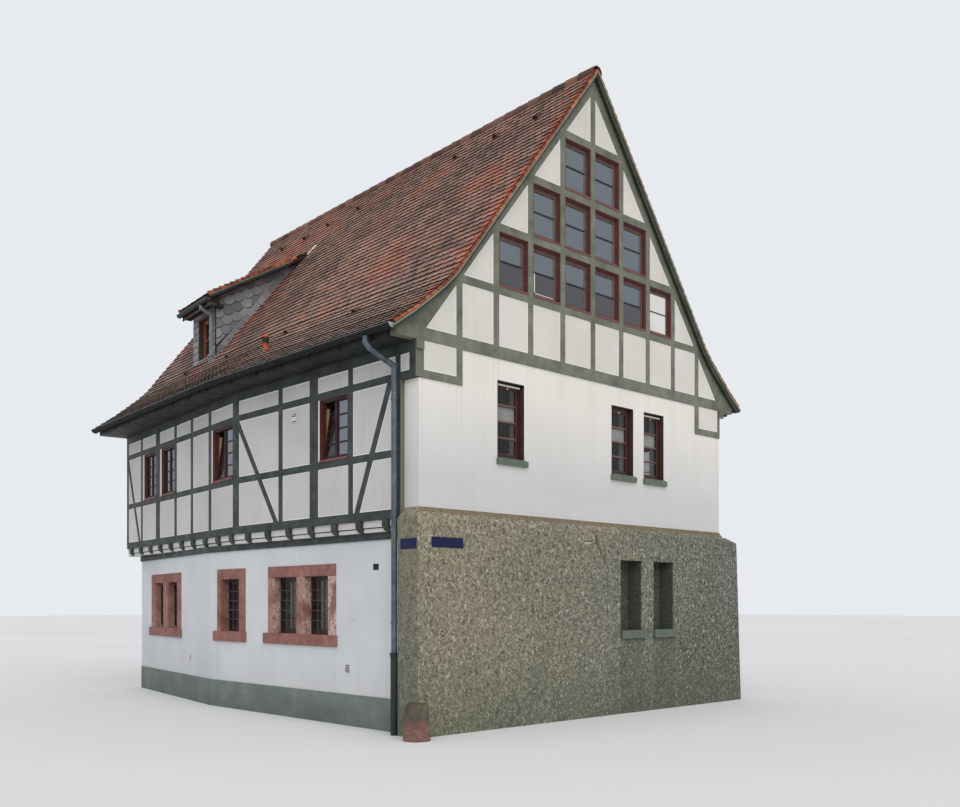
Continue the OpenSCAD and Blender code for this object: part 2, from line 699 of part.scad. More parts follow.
// Roof
module roof_front() {
    difference() {
        street_slab();
        // Opening into the dormer
        dormer_at() translate([-dormer_w + cheek_t + 20, dwin_set - 10, 0])
            cube([dormer_w - 2 * cheek_t - 40, 1380, 20000]);
    }
}
module roof_back() back_slab();
module ridge_tiles() {
    d = ridge_2 - ridge_0;
    top = 75 + seat;
    translate([ridge_0.x, ridge_0.y, ridge_z - 75]) rotate([0, 0, atan2(d.y, d.x)])
        rotate([90, 0, 90]) linear_extrude(norm(d)) difference() {
            circle(r = ridge_r, $fn = 48);
            polygon([[0, top], [400, top - 400 * ridge_fall], [400, -400], [-400, -400],
                [-400, top - 400 * ridge_fall]]);
        }
}
// Barge boards follow the underside of the tiles at both verges
module barge(r, g, r2, g2, flip) {
    t = barge_t / norm(r2 - r);
    difference() {
        skin([for (k = [0, t]) slab_sec(r + (r2 - r) * k, g + (g2 - g) * k, -roof_t - 4 * seat,
            barge_h)], flip);
        gutter_room(eave_0 + [200, -gut], eave_1 + [0, -gut]);
        gutter_room(eave_1 + [0, -gut], eave_2 - gut * dir3 + 200 * dir2);
        gutter_room(beave_0 + [200, gut], beave_2 + gut * dir3 + 200 * dir2);
    }
}
module barge_boards() {
    barge(ridge_0, eave_0, ridge_1, eave_1, true);
    barge(ridge_0, beave_0, ridge_1, beave_1, false);
    barge(ridge_2, eave_2, ridge_1, eave_1, false);
    barge(ridge_2, beave_2, ridge_1, beave_1, true);
}
module gutter_room(p, q) {
    d = q - p;
    translate([p.x, p.y, gutter_z - 400]) rotate([0, 0, atan2(d.y, d.x)])
        translate([0, -gutter_d / 2 - 1, 0]) cube([norm(d), gutter_d + 2, 402]);
}
// Boxed eaves: a fascia and a soffit board, set out inwards from the eaves line
function inwards(r, g, d) = g + (r - g) / norm(r - g) * d;
box_top = eave_z - edge_t;
function box_sec(r, g, w, c = 0) = [for (p = [[70 - c, box_top], [70 - c, tie_z - 20], [w, tie_z - 20],
    [w, tie_z - seat], [95, tie_z - seat], [95, box_top]])
    let (q = inwards(r, g, p[0])) [q.x, q.y, p[1]]];
module eaves_soffits(c = 0) {
    e0 = [gable_proud - frame_t - 1, eave_0.y];
    skin([box_sec([e0.x, 4000], e0, eave_out - seat, c),
        box_sec([eave_1.x, 4000], eave_1, eave_out - seat, c),
        box_sec(ridge_2 - 110 * dir2, eave_2 - 110 * dir2, eave_out + eave_grow - seat, c)], true, 3);
    b0 = meet(beave_0, beave_2 - beave_0, [e0.x, 0], [0, 1]);
    bw = norm(meet(b0, [0, 1], back_0, back_dir) - b0);
    bw2 = norm(meet(beave_2 - 110 * dir2, dir3, back_0, back_dir) - (beave_2 - 110 * dir2));
    skin([box_sec([b0.x, 4000], b0, bw - seat, c),
        box_sec(ridge_2 - 110 * dir2, beave_2 - 110 * dir2, bw2 - seat, c)], false, 3);
}

// Gutters and downpipe, set out from the eaves line
module gutter_run(p, q, side) {
    d = q - p;
    n = floor((norm(d) - 400) / bracket_gap);
    translate([p.x, p.y, gutter_z]) rotate([0, 0, atan2(d.y, d.x)]) rotate([90, 0, 90]) {
        linear_extrude(norm(d)) difference() {
            circle(d = gutter_d, $fn = 48);
            circle(d = gutter_d - 2 * gutter_t, $fn = 48);
            translate([-gutter_d, 0]) square([2 * gutter_d, gutter_d]);
        }
        // Brackets on the fascia
        for (i = [0:n]) translate([0, 0, (norm(d) - n * bracket_gap) / 2 + i * bracket_gap - 15])
            linear_extrude(30) scale([side, 1]) polygon([[44, -60], [gut + 60, -60], [gut + 60, -140],
                [gut + 85, -140], [gut + 85, -54], [44, -54]]);
    }
}
module gutter_end(p, d) {
    translate([p.x, p.y, gutter_z]) rotate([0, 0, atan2(d.y, d.x)]) rotate([90, 0, 90])
        linear_extrude(gutter_t) difference() {
            circle(d = gutter_d, $fn = 48);
            translate([-gutter_d, 0]) square([2 * gutter_d, gutter_d]);
        }
}
gutter_z = eave_z - edge_t - 10;
module gutter_lines() {
    g0 = eave_0 + [-20, -gut];
    g1 = eave_1 + [0, -gut];
    g2 = eave_2 - gut * dir3;
    gutter_run(g0, g1, -1);
    difference() {
        gutter_run(g1 - 30 * (g2 - g1) / norm(g2 - g1), g2, -1);
        bend_cut();
    }
    gutter_end(g0, g1 - g0);
    gutter_end(g2, g1 - g2);
    b0 = beave_0 + [-20, gut];
    b2 = beave_2 + gut * dir3;
    gutter_run(b0, b2, 1);
    gutter_end(b0, b2 - b0);
    gutter_end(b2, b0 - b2);
}
module gutters() {
    difference() {
        gutter_lines();
        eaves_soffits(seat);
    }
}
module tube(p, q, d) {
    v = q - p;
    translate(p) rotate([0, acos(v.z / norm(v)), atan2(v.y, v.x)]) cylinder(d = d, h = norm(v), $fn = 32);
}
pipe_x = -407;
pipe_y = -corner_step - 30 - pipe_d / 2;
module downpipe() {
    pts = [[-560, eave_0.y - gut, gutter_z - gutter_d / 2 - seat], [-560, eave_0.y - gut, eave_z - 200],
        [-520, eave_0.y + 40, eave_z - 300], [pipe_x, pipe_y, 5760], [pipe_x, pipe_y, foot_z]];
    for (i = [0:3]) tube(pts[i], pts[i + 1], pipe_d);
    for (i = [1:3]) translate(pts[i]) sphere(d = pipe_d + 6, $fn = 32);
    for (z = [5240, 1740]) translate([pipe_x, pipe_y, z]) cylinder(d = pipe_d + 16, h = 40, $fn = 32);
    // Wall bracket
    translate([pipe_x - 12, pipe_y, 5248]) cube([24, pipe_d / 2 + 30 - seat, 24]);
}
module downpipe_foot() {
    translate([pipe_x, pipe_y, 0]) cylinder(d = foot_d, h = foot_z - seat, $fn = 32);
    translate([pipe_x, pipe_y, foot_z - 60]) cylinder(d = foot_d + 18, h = 60 - seat, $fn = 32);
}

// Dormer, drawn from its near front corner: x along its front, y up the slope
module dormer_at() translate([-dormer_x, dormer_y, 0]) rotate([0, 0, -bend_up]) children();
function dormer_roof_z(y) = dormer_z + (y + dormer_out) * tan(dormer_slope);
cheek_t = 110;
dwin_w = dormer_w - 2 * djamb;
dwin_h = 950;
dwin_z = 7590;
dwin_side = 85;
dwin_set = 80;
module dormer_cheeks() {
    difference() {
        dormer_at() for (x = [-dormer_w, -cheek_t]) translate([x, 0, 0]) rotate([90, 0, 90])
            linear_extrude(cheek_t) polygon([[dfront_t + seat, 6900],
                [dfront_t + seat, dormer_roof_z(dfront_t) - seat],
                [2600, dormer_roof_z(2600) - seat], [2600, 6900]]);
        under_slope();
    }
}
module dormer_front() {
    difference() {
        dormer_at() difference() {
            translate([-dormer_w, 0, 0]) rotate([90, 0, 90]) linear_extrude(dormer_w)
                polygon([[0, 6900], [0, dormer_roof_z(0) - seat], [dfront_t, dormer_roof_z(dfront_t) - seat],
                    [dfront_t, 6900]]);
            translate([-dormer_w + djamb - seat, -1, dwin_z - seat])
                cube([dwin_w + 2 * seat, dfront_t + 2, dwin_h + 2 * seat]);
        }
        under_slope();
    }
}
module dormer_window() {
    dormer_at() translate([-dormer_w + djamb, dwin_set, dwin_z]) difference() {
        cube([dwin_w, 60, dwin_h]);
        translate([dwin_side, -1, dwin_side]) cube([dwin_w - 2 * dwin_side, 62, dwin_h - 2 * dwin_side]);
    }
}
module dormer_panes() {
    c = dwin_side + seat;
    dormer_at() translate([-dormer_w + djamb + c, dwin_set + 26, dwin_z + c])
        cube([dwin_w - 2 * c, 8, dwin_h - 2 * c]);
}
// Roof slab, and the boxed eave in front of the wall under it
module dormer_roof() {
    wide = dormer_w + 2 * dormer_side;
    difference() {
        dormer_at() translate([-dormer_w - dormer_side, -dormer_out, dormer_z]) rotate([dormer_slope, 0, 0])
            cube([wide, 3400, 85]);
        under_slope();
    }
    y0 = dgutter_d - dormer_out - 115;
    dormer_at() translate([-dormer_w - dormer_side + 40, 0, 0]) rotate([90, 0, 90])
        linear_extrude(wide - 80) polygon([[y0, dormer_z - 95], [-seat, dormer_z - 95],
            [-seat, dormer_roof_z(0) - seat], [y0, dormer_roof_z(y0) - seat]]);
}
module dormer_gutter() {
    y = -dormer_out - 50;
    z = dormer_z - 4;
    wide = dormer_w + 2 * dormer_side;
    dormer_at() {
        translate([-dormer_w - dormer_side, y, z]) rotate([90, 0, 90]) linear_extrude(wide)
            difference() {
                circle(d = dgutter_d, $fn = 32);
                circle(d = dgutter_d - 8, $fn = 32);
                translate([-100, 0]) square([200, 100]);
            }
        for (x = [-dormer_w - dormer_side, dormer_side - 4]) translate([x, y, z]) rotate([90, 0, 90])
            linear_extrude(4) difference() {
                circle(d = dgutter_d, $fn = 32);
                translate([-100, 0]) square([200, 100]);
            }
        px = -150;
        py = -dpipe_d / 2 - 3;
        pts = [[px - 45, y, z - dgutter_d / 2 - seat], [px - 43, y + 2, z - 146], [px, py, z - 246],
            [px, py, 7600], [px, py - 76, 7545]];
        for (i = [0:3]) tube(pts[i], pts[i + 1], dpipe_d);
        for (i = [1:3]) translate(pts[i]) sphere(d = dpipe_d + 3, $fn = 32);
        // Clamp
        translate([px, py, 8010]) cylinder(d = dpipe_d + 5, h = 30, $fn = 32);
        translate([px - 12, py, 8013]) cube([24, -py - seat, 24]);
    }
}

// Window joinery: an outer frame with a middle post or a transom
module casement(w, h, t, side, mull, trans) {
    difference() {
        square([w, h]);
        for (i = [0:mull], j = [0:trans]) {
            pw = (w - 2 * side - mull * side) / (mull + 1);
            ph = (h - 2 * side - trans * side) / (trans + 1);
            translate([side + i * (pw + side), side + j * (ph + side)]) square([pw, ph]);
        }
    }
}
module pane_sheet(w, h, side, mull, trans, skip = -1) {
    for (i = [0:mull], j = [0:trans]) if (i != skip) {
        pw = (w - 2 * side - mull * side) / (mull + 1);
        ph = (h - 2 * side - trans * side) / (trans + 1);
        translate([side + i * (pw + side) + seat, side + j * (ph + side) + seat])
            square([pw - 2 * seat, ph - 2 * seat]);
    }
}
// Attic windows of the gable, two panes one over the other
module attic_set() {
    for (r = attic_rows, i = [-r[1]:r[1] - 1])
        translate([post_y(i) + post_w / 2 + seat, collar_z(r[0]) + collar_h + seat]) children();
}
aw = post_pitch - post_w - 2 * seat;
ah = collar_pitch - collar_h - 2 * seat;
module attic_windows() on_gable(40, 100) attic_set() casement(aw, ah, 60, 62, 0, 1);
module attic_glass() {
    on_gable(66, 74) attic_set() pane_sheet(aw, ah, 62, 0, 1);
    dormer_panes();
}
// Tall windows in the masonry
module gable_windows() {
    on_gable(110, 175) for (w = gw_list) translate([w[0] + seat, gw_z + seat])
        casement(w[1] - 2 * seat, gw_h - 2 * seat, 65, 75, 0, 0);
}
module gable_glass() {
    on_gable(138, 146) for (w = gw_list) translate([w[0] + seat, gw_z + seat])
        pane_sheet(w[1] - 2 * seat, gw_h - 2 * seat, 75, 0, 0);
}
module gable_sills() {
    for (w = gw_list) {
        translate([seat, w[0] - 20, gw_z - 95]) cube([52, w[1] + 75, 95 + seat]);
        translate([-88, w[0] + seat, gw_z + seat]) cube([140, w[1] - 2 * seat, 14]);
    }
    for (n = niche_list) translate([plinth_t + seat, n[0] - 10, niche_z - 150]) cube([55, n[1] + 90, 150]);
}
// Street windows of the upper storey
bay_h = head_z - mid_top - 2 * seat;
function bay_w(w) = w[1] - w[0] - 2 * seat;
module bay_frames(list) for (w = list) translate([w[0] + seat, mid_top + seat])
    casement(bay_w(w), bay_h, 60, 60, 1, 0);
module bay_panes(list, skip = -1) for (w = list) translate([w[0] + seat, mid_top + seat])
    pane_sheet(bay_w(w), bay_h, 60, 1, 0, skip);
// Two windows beyond the bend have their farther sash tilted open at the top
tilt = 7;
tilt_sash = 36;
tilt_t = 32;
tilted = [l2_windows[1], l2_windows[2]];
closed = [l2_windows[0]];
// Carries a drawing in the plane of a tilted sash, from depth a to depth b of that sash
module on_tilted(w, a, b) {
    pw = (bay_w(w) - 180) / 2;
    translate([bend.x, bend.y, 0]) rotate([0, 0, 180 - bend_up]) rotate([90, 0, 0])
        translate([w[1] - 60 - pw, mid_top + 65, 62]) rotate([tilt, 0, 0]) translate([0, 0, a])
            linear_extrude(b - a) children();
}
module sash_leaf(w, m) {
    pw = (bay_w(w) - 180) / 2;
    translate([m, m]) square([pw - 2 * m, bay_h - 125 - 2 * m]);
}
module street_windows() {
    on_wall(corner, [-1, 0], 45, 105, true) bay_frames(l1_windows);
    on_wall(bend, dir2, 45, 105, true) bay_frames(l2_windows);
    for (w = tilted) on_tilted(w, 0, tilt_t) difference() { sash_leaf(w, seat); sash_leaf(w, tilt_sash); }
}
module street_glass() {
    on_wall(corner, [-1, 0], 70, 78, true) bay_panes(l1_windows);
    on_wall(bend, dir2, 70, 78, true) {
        bay_panes(closed);
        bay_panes(tilted, 1);
    }
    for (w = tilted) on_tilted(w, 12, 20) sash_leaf(w, tilt_sash + seat);
}
// Windows behind the sandstone surrounds
module ground_windows() {
    l1_face(155, 215) for (w = gf_l1) translate([w[0] + seat, gf_z + seat])
        casement(w[1] - w[0] - 2 * seat, gf_h - 2 * seat, 60, 60, 0, 0);
    l2_face(155, 215) for (w = gf_l2) translate([w[0] + seat, gf_z + seat])
        casement(w[1] - w[0] - 2 * seat, gf_h - 2 * seat, 60, 60, 0, 0);
}
module ground_glass() {
    l1_face(180, 188) for (w = gf_l1) translate([w[0] + seat, gf_z + seat])
        pane_sheet(w[1] - w[0] - 2 * seat, gf_h - 2 * seat, 60, 0, 0);
    l2_face(180, 188) for (w = gf_l2) translate([w[0] + seat, gf_z + seat])
        pane_sheet(w[1] - w[0] - 2 * seat, gf_h - 2 * seat, 60, 0, 0);
}
// Windows of the hidden sides
module hidden_windows() {
    on_wall(back_r, -back_dir, 45, 105, true) bay_frames(back_windows);
    on_wall(far, dir3, 45, 105, true) {
        bay_frames(rear_windows);
        for (w = rear_attic) translate([w[0] + seat, collar_z(0) + collar_h + seat])
            casement(w[1] - w[0] - 2 * seat, collar_pitch - collar_h - 2 * seat, 60, 62, 0, 1);
    }
    on_back(150, 210) for (s = [1500, 3000, 8200]) translate([s + seat, gf_z + seat])
        casement(760 - 2 * seat, gf_h - 2 * seat, 60, 60, 0, 0);
}
module hidden_glass() {
    on_wall(back_r, -back_dir, 70, 78, true) bay_panes(back_windows);
    on_wall(far, dir3, 70, 78, true) {
        bay_panes(rear_windows);
        for (w = rear_attic) translate([w[0] + seat, collar_z(0) + collar_h + seat])
            pane_sheet(w[1] - w[0] - 2 * seat, collar_pitch - collar_h - 2 * seat, 62, 0, 1);
    }
    on_back(176, 184) for (s = [1500, 3000, 8200]) translate([s + seat, gf_z + seat])
        pane_sheet(760 - 2 * seat, gf_h - 2 * seat, 60, 0, 0);
}
module back_door() {
    on_back(140, 190) bar(door_x[0] + seat, door_x[1] - seat, slab_top + seat, slab_top + 2150 - seat);
}

// Small pieces
module street_plates() {
    translate([plinth_t + seat, 123, 2930]) cube([8, 660, 160]);
    translate([-260, -corner_step - 65 - seat - 8, 2900]) cube([380, 8, 160]);
}
module vent_pipe() {
    difference() {
        translate([-4740, 190, 6600]) {
            cylinder(d = 95, h = 485, $fn = 32);
            translate([0, 0, 365]) cylinder(d1 = 95, d2 = 128, h = 18, $fn = 32);
            cylinder(d = 52, h = 535, $fn = 32);
            translate([0, 0, 525]) cylinder(d1 = 138, d2 = 84, h = 38, $fn = 32);
        }
        under_slope();
    }
}
module guard_stone() {
    translate([plinth_t + guard_gap, -corner_step - 65 - guard_gap, 0])
        cylinder(d1 = guard_d, d2 = guard_d - 90, h = 560, $fn = 40);
}
module wall_fittings() {
    on_wall([0, street_y], [-1, 0], -8, -seat, true) {
        bar(1870, 2000, 880, 1035);
    }
    on_wall([0, street_y], [-1, 0], 6, 20, true) bar(1083 + seat, 1236 - seat, 2603 + seat, 2708 - seat);
}

// Moves the house so that the centre of its plan lies over the origin
mid_x = (plinth_t + guard_gap + guard_d / 2 + eave_2.x - (gut + gutter_d / 2) * dir3.x) / 2;
mid_y = (eave_0.y + beave_2.y) / 2;
module place(c) color(c) translate([-mid_x, -mid_y, 0]) children();
plaster = "#e4e1db";
timber = "#5f6b5c";
stone = "#9c5a49";
tile = "#7a4a3c";
zinc = "#6d7478";
joinery = "#6a2a2c";
glass = "#30383c80";
place(plaster) street_wall();
place(plaster) gable_wall();
place("#8f8a78") gable_plinth();
place("#7d8277") base_strip();
place(plaster) rear_wall();
place(plaster) back_wall();
place("#8a8782") ground_slab();
place(timber) wall_plate();
place(timber) jetty_joists();
place(plaster) jetty_infill();
place("#8d7a5e") upper_floor();
place("#8d7a5e") attic_floor();
place(timber) street_frame();
place(plaster) street_panels();
place(timber) gable_frame();
place(plaster) gable_panels();
place(timber) rear_frame();
place(plaster) rear_panels();
place(timber) back_frame();
place(plaster) back_panels();
place(tile) roof_front();
place(tile) roof_back();
place(tile) ridge_tiles();
place(timber) barge_boards();
place(timber) eaves_soffits();
place(zinc) gutters();
place(zinc) downpipe();
place("#2f3234") downpipe_foot();
place(timber) dormer_front();
place("#59636b") dormer_cheeks();
place("#8a5a34") dormer_window();
place(tile) dormer_roof();
place(zinc) dormer_gutter();
place(joinery) attic_windows();
place(glass) attic_glass();
place(joinery) gable_windows();
place(glass) gable_glass();
place(timber) gable_sills();
place(joinery) street_windows();
place(glass) street_glass();
place("#2d2a28") ground_windows();
place(glass) ground_glass();
place(stone) stone_surrounds();
place(joinery) hidden_windows();
place(glass) hidden_glass();
place(joinery) back_door();
place("#1c2350") street_plates();
place("#a4523c") vent_pipe();
place(stone) guard_stone();
place("#4a4d4c") wall_fittings();
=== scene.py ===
"""Half timbered house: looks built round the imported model. Lengths are metres, in the model's frame."""
import math
import random

import bmesh
import bpy
import numpy as np
from mathutils import Matrix, Vector


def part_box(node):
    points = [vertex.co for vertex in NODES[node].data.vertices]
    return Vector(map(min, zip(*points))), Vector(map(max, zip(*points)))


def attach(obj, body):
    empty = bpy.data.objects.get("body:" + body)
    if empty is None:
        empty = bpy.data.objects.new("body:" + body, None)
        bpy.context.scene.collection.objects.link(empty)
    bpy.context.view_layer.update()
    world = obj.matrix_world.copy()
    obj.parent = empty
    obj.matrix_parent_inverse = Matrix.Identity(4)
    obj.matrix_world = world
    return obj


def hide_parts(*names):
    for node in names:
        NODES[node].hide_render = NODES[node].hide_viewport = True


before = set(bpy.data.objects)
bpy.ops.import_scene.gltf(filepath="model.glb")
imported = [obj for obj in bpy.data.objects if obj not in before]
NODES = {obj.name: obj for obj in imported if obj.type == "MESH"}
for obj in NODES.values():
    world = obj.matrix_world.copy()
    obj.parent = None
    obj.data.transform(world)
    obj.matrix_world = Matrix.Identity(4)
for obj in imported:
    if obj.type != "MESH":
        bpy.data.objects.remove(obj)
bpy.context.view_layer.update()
MAT = {}
rng = random.Random(11)
UP = Vector((0, 0, 1))
TALL = 12.0
# Posts of the gable
POST_Y, POST_PITCH = -0.216, 0.827
# The niches of the plinth, and where rain runs off their sills along the gable
NICHE_FOOT, NICHE_HEAD, NICHE_FACE = 1.53, 2.89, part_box("gable_plinth")[1].x - 0.02
NICHE_WET = (0.42, 1.10), (1.43, 2.13)
# Jambs stand between the sill blocks and the lintels of the ground windows
SILL_BLOCK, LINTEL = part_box("stone_surrounds")[0].z + 0.195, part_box("stone_surrounds")[1].z - 0.21
# Places along the street: the middle ground window, whose stone is even, and the jamb nearest the corner
EVEN_STONE, LAST_JAMB = -0.05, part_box("stone_surrounds")[1].x - 0.26
JOISTS = [-0.717 - 0.7 * i for i in range(7)], [0.2 + 0.6667 * i for i in range(10)]


# Colours and materials
def lin(colour):
    """Linear colour from a six digit sRGB one."""
    parts = [int(colour[i:i + 2], 16) / 255 for i in (0, 2, 4)]
    return (*[c / 12.92 if c <= 0.04045 else ((c + 0.055) / 1.055) ** 2.4 for c in parts], 1.0)


class Wire:
    """An output in a node tree, reckoned with like a number."""

    def __init__(self, socket):
        self.socket = socket

    def clamp(self):
        self.socket.node.use_clamp = True
        return self

    def __add__(self, other):
        return reckon("ADD", self, other)

    def __sub__(self, other):
        return reckon("SUBTRACT", self, other)

    def __rsub__(self, other):
        return reckon("SUBTRACT", other, self)

    def __mul__(self, other):
        return reckon("MULTIPLY", self, other)

    def __truediv__(self, other):
        return reckon("DIVIDE", self, other)

    def __gt__(self, other):
        return reckon("GREATER_THAN", self, other)

    def __lt__(self, other):
        return reckon("LESS_THAN", self, other)

    def __abs__(self):
        return reckon("ABSOLUTE", self)


def put(tree, kind, ins=(), **settings):
    """A new node with its settings, fed by wires, numbers or colours."""
    n = tree.nodes.new(kind)
    for key, value in settings.items():
        setattr(n, key, value)
    for key, value in dict(ins).items():
        if isinstance(value, Wire):
            tree.links.new(value.socket, n.inputs[key])
        else:
            n.inputs[key].default_value = lin(value) if isinstance(value, str) else value
    return n


def reckon(op, a, b=0.0):
    tree = (a if isinstance(a, Wire) else b).socket.id_data
    return Wire(put(tree, "ShaderNodeMath", {0: a, 1: b}, operation=op).outputs[0])


class Shade:
    """A node material made step by step."""

    def __init__(self, name, rough=0.7, metal=0.0, spec=0.35, more=()):
        self.m = MAT[name] = bpy.data.materials.new(name)
        self.m.use_nodes = True
        self.t = self.m.node_tree
        self.t.nodes.clear()
        self.b = put(self.t, "ShaderNodeBsdfPrincipled",
                     {"Roughness": rough, "Metallic": metal, "Specular IOR Level": spec, **dict(more)})
        put(self.t, "ShaderNodeOutputMaterial", {0: Wire(self.b.outputs[0])})
        self.co = self.wire("ShaderNodeTexCoord", out="Object")
        self.x, self.y, self.z = self.parts(self.co)
        self.normal = None

    def wire(self, kind, ins=(), out=0, **settings):
        return Wire(put(self.t, kind, ins, **settings).outputs[out])

    def parts(self, vector):
        return [Wire(o) for o in put(self.t, "ShaderNodeSeparateXYZ", {0: vector}).outputs]

    def noise(self, scale, detail=4, rough=0.6, stretch=None, dist=0.0):
        vector = self.wire("ShaderNodeMapping", {"Vector": self.co, "Scale": stretch}) if stretch else self.co
        return self.wire("ShaderNodeTexNoise", {"Vector": vector, "Scale": scale, "Detail": detail,
                                                "Roughness": rough, "Distortion": dist}, "Fac")

    def ramp(self, fac, *stops):
        n = put(self.t, "ShaderNodeValToRGB", {"Fac": fac})
        elements = n.color_ramp.elements
        while len(elements) < len(stops):
            elements.new(0.5)
        for e, (place, c) in zip(elements, stops):
            e.position = place
            e.color = lin(c) if isinstance(c, str) else (c, c, c, 1)
        return Wire(n.outputs[0])

    def mix(self, fac, a, b, mode="MIX"):
        return self.wire("ShaderNodeMix", {0: fac, 6: a, 7: b}, 2, data_type="RGBA", blend_type=mode)

    def bump(self, height, strength, dist):
        below = {"Normal": self.normal} if self.normal else {}
        self.normal = self.wire("ShaderNodeBump", {"Height": height, "Strength": strength, "Distance": dist,
                                                   **below})

    def soften(self, radius):
        """Rounded look of the arrises."""
        self.normal = self.wire("ShaderNodeBevel", {"Radius": radius}, samples=4)

    def facing(self, axis):
        """One part of the true normal."""
        return self.parts(self.wire("ShaderNodeNewGeometry", out="True Normal"))[axis]

    def island(self):
        return self.wire("ShaderNodeNewGeometry", out="Random Per Island")

    def done(self, colour, rough=None):
        for key, wire in (("Base Color", colour), ("Roughness", rough), ("Normal", self.normal)):
            if wire:
                self.t.links.new(wire.socket, self.b.inputs[key])


def plaster(name, base, shade, streak=0.5, grain=0.35, low=None, posts=False):
    s = Shade(name, 0.85, spec=0.2)
    runs = s.ramp(s.noise(1.0, 5, 0.65, (5.5, 5.5, 0.28)), (0.56, "ffffff"), (0.78, "d9d2c6"))
    col = s.mix(streak, s.ramp(s.noise(0.55, 5, 0.6), (0.3, shade), (0.62, base)), runs, "MULTIPLY")
    foot = (1.1 - s.z).clamp() * 0.5 * s.noise(2.5, 6, 0.7)
    col = s.mix(foot.clamp(), col, "a39c90")
    tall = s.z / TALL
    if low:
        col = s.mix(s.ramp(tall, (0.34, 1.0), (0.46, 0.0)), col, low, "MULTIPLY")
    if posts:
        # Two faint runs of rain water under each post of the gable
        turn = reckon("FRACT", (s.y - (POST_Y - POST_PITCH / 2)) / POST_PITCH)
        pair = s.ramp(abs(turn - 0.5) * (POST_PITCH * 5), (0.14, 0.0), (0.27, 1.0), (0.42, 0.0))
        wet = pair * s.ramp(tall, (0.29, 0.15), (0.52, 1.0)) * s.noise(1.3, 4, 0.6, (3, 3, 0.5))
        col = s.mix(wet * 0.30, col, "a3937c")
    s.bump(s.noise(6, 3, 0.5), 0.12, 0.02)
    s.bump(s.noise(140, 4, 0.7), grain, 0.002)
    s.done(col)


def timber(name, base, dark, light, wear=0.25, ends=None):
    s = Shade(name, 0.62, spec=0.3)
    s.soften(0.007)
    n = s.noise(3.2, 6, 0.65)
    grain = reckon("MAXIMUM", s.noise(3.0, 6, 0.7, (14, 14, 0.9)), s.noise(3.0, 6, 0.7, (1.0, 1.0, 16)))
    col = s.ramp(n, (0.3, dark), (0.5, base), (0.72, light))
    col = s.mix(s.ramp(grain, (0.62, 0.0), (0.78, 1.0)) * wear, col, dark)
    if ends:
        col = s.mix(s.ramp(s.facing(0), (0.9, 0.0), (0.96, 1.0)), col, ends)
    s.bump(grain, 0.22, 0.004)
    s.bump(s.noise(55, 3, 0.6), 0.18, 0.002)
    s.done(col, s.ramp(n, (0.3, 0.72), (0.7, 0.5)))


def paint(name, base, dark, rough=0.4, spec=0.45):
    s = Shade(name, rough, spec=spec)
    s.soften(0.003)
    s.bump(s.noise(2.0, 5, 0.7, (30, 30, 3)), 0.15, 0.001)
    s.done(s.ramp(s.noise(7, 5, 0.65), (0.3, dark), (0.65, base)),
           s.ramp(s.noise(9, 4), (0.3, rough - 0.08), (0.7, rough + 0.15)))


def metal(name, base, dark, rough=0.5, metallic=0.7, above=None):
    s = Shade(name, rough, metallic, 0.5)
    s.soften(0.002)
    col = s.ramp(s.noise(4.5, 6, 0.7), (0.32, dark), (0.64, base))
    if above:
        col = s.mix(s.z > above, col, "2c2f31")
    s.bump(s.noise(24, 4, 0.6), 0.1, 0.002)
    s.done(col, s.ramp(s.noise(11, 5, 0.7), (0.3, max(rough - 0.12, 0.1)), (0.7, rough + 0.15)))


def clay(name, stops, lichen, patch, gap=None):
    """Fired clay, each piece with a shade of its own and patches of growth; given a last colour, faces turned
    sideways or down are painted with it as shade.
    """
    s = Shade(name, 0.8, spec=0.25)
    col = s.ramp(s.island() * (1 - patch) + s.noise(0.6, 5, 0.7) * patch, *stops)
    grime = s.ramp(s.noise(9, 6, 0.75), (0.45, 0.0), (0.7, 1.0))
    col = s.mix(grime * 0.42, col, "3a2a26")
    col = s.mix(s.ramp(s.noise(30, 5, 0.8), (0.6, 0.0), (0.72, 1.0)) * lichen, col, "8d8578")
    if gap:
        zone = s.noise(0.42, 4, 0.6, (1.0, 1.7, 0.7))
        col = s.mix(s.ramp(zone, (0.5, 0.0), (0.66, 0.5)), col, "bd6d50")
        col = s.mix(s.ramp(zone, (0.34, 0.45), (0.46, 0.0)), col, "5b4b45")
        col = s.mix(s.ramp(s.z / TALL, (0.54, 0.4), (0.68, 0.0)), col, "9b8f85")
        # Faces turned sideways or down (tails, sides and undersides of the tiles) are painted dark as the
        # shade between the rows
        col = s.mix(s.ramp(s.facing(2), (0.05, 0.95), (0.22, 0.0)), col, gap)
    s.bump(s.noise(45, 5, 0.7), 0.35, 0.003)
    s.done(col, s.ramp(grime, (0.0, 0.72), (1.0, 0.9)))


def boards(name, base, dark, wide):
    s = Shade(name, 0.7, spec=0.3)
    line = s.ramp(abs(reckon("FRACT", s.x / wide) - 0.5), (0.47, 0.0), (0.49, 1.0))
    s.bump(line, -0.6, 0.004)
    s.done(s.mix(line, s.ramp(s.noise(3, 6, 0.7, (1.2, 16, 16)), (0.3, dark), (0.7, base)), "1c1712"))


def glass(name, alpha, ior, base, tint=(1.0, 1.0, 1.0)):
    """Clear sheet, partly seen through, with a mirror image of the sky on it; where it is not seen through,
    its dark colour is painted shade of the room behind.
    """
    s = Shade(name, 0.02, spec=0.5, more={"IOR": ior, "Alpha": alpha, "Specular Tint": (*tint, 1.0)})
    s.bump(s.noise(1.6, 2, 0.4), 0.05, 0.02)
    s.done(s.ramp(s.noise(2.0, 2), (0.3, base), (0.7, "22272a")))


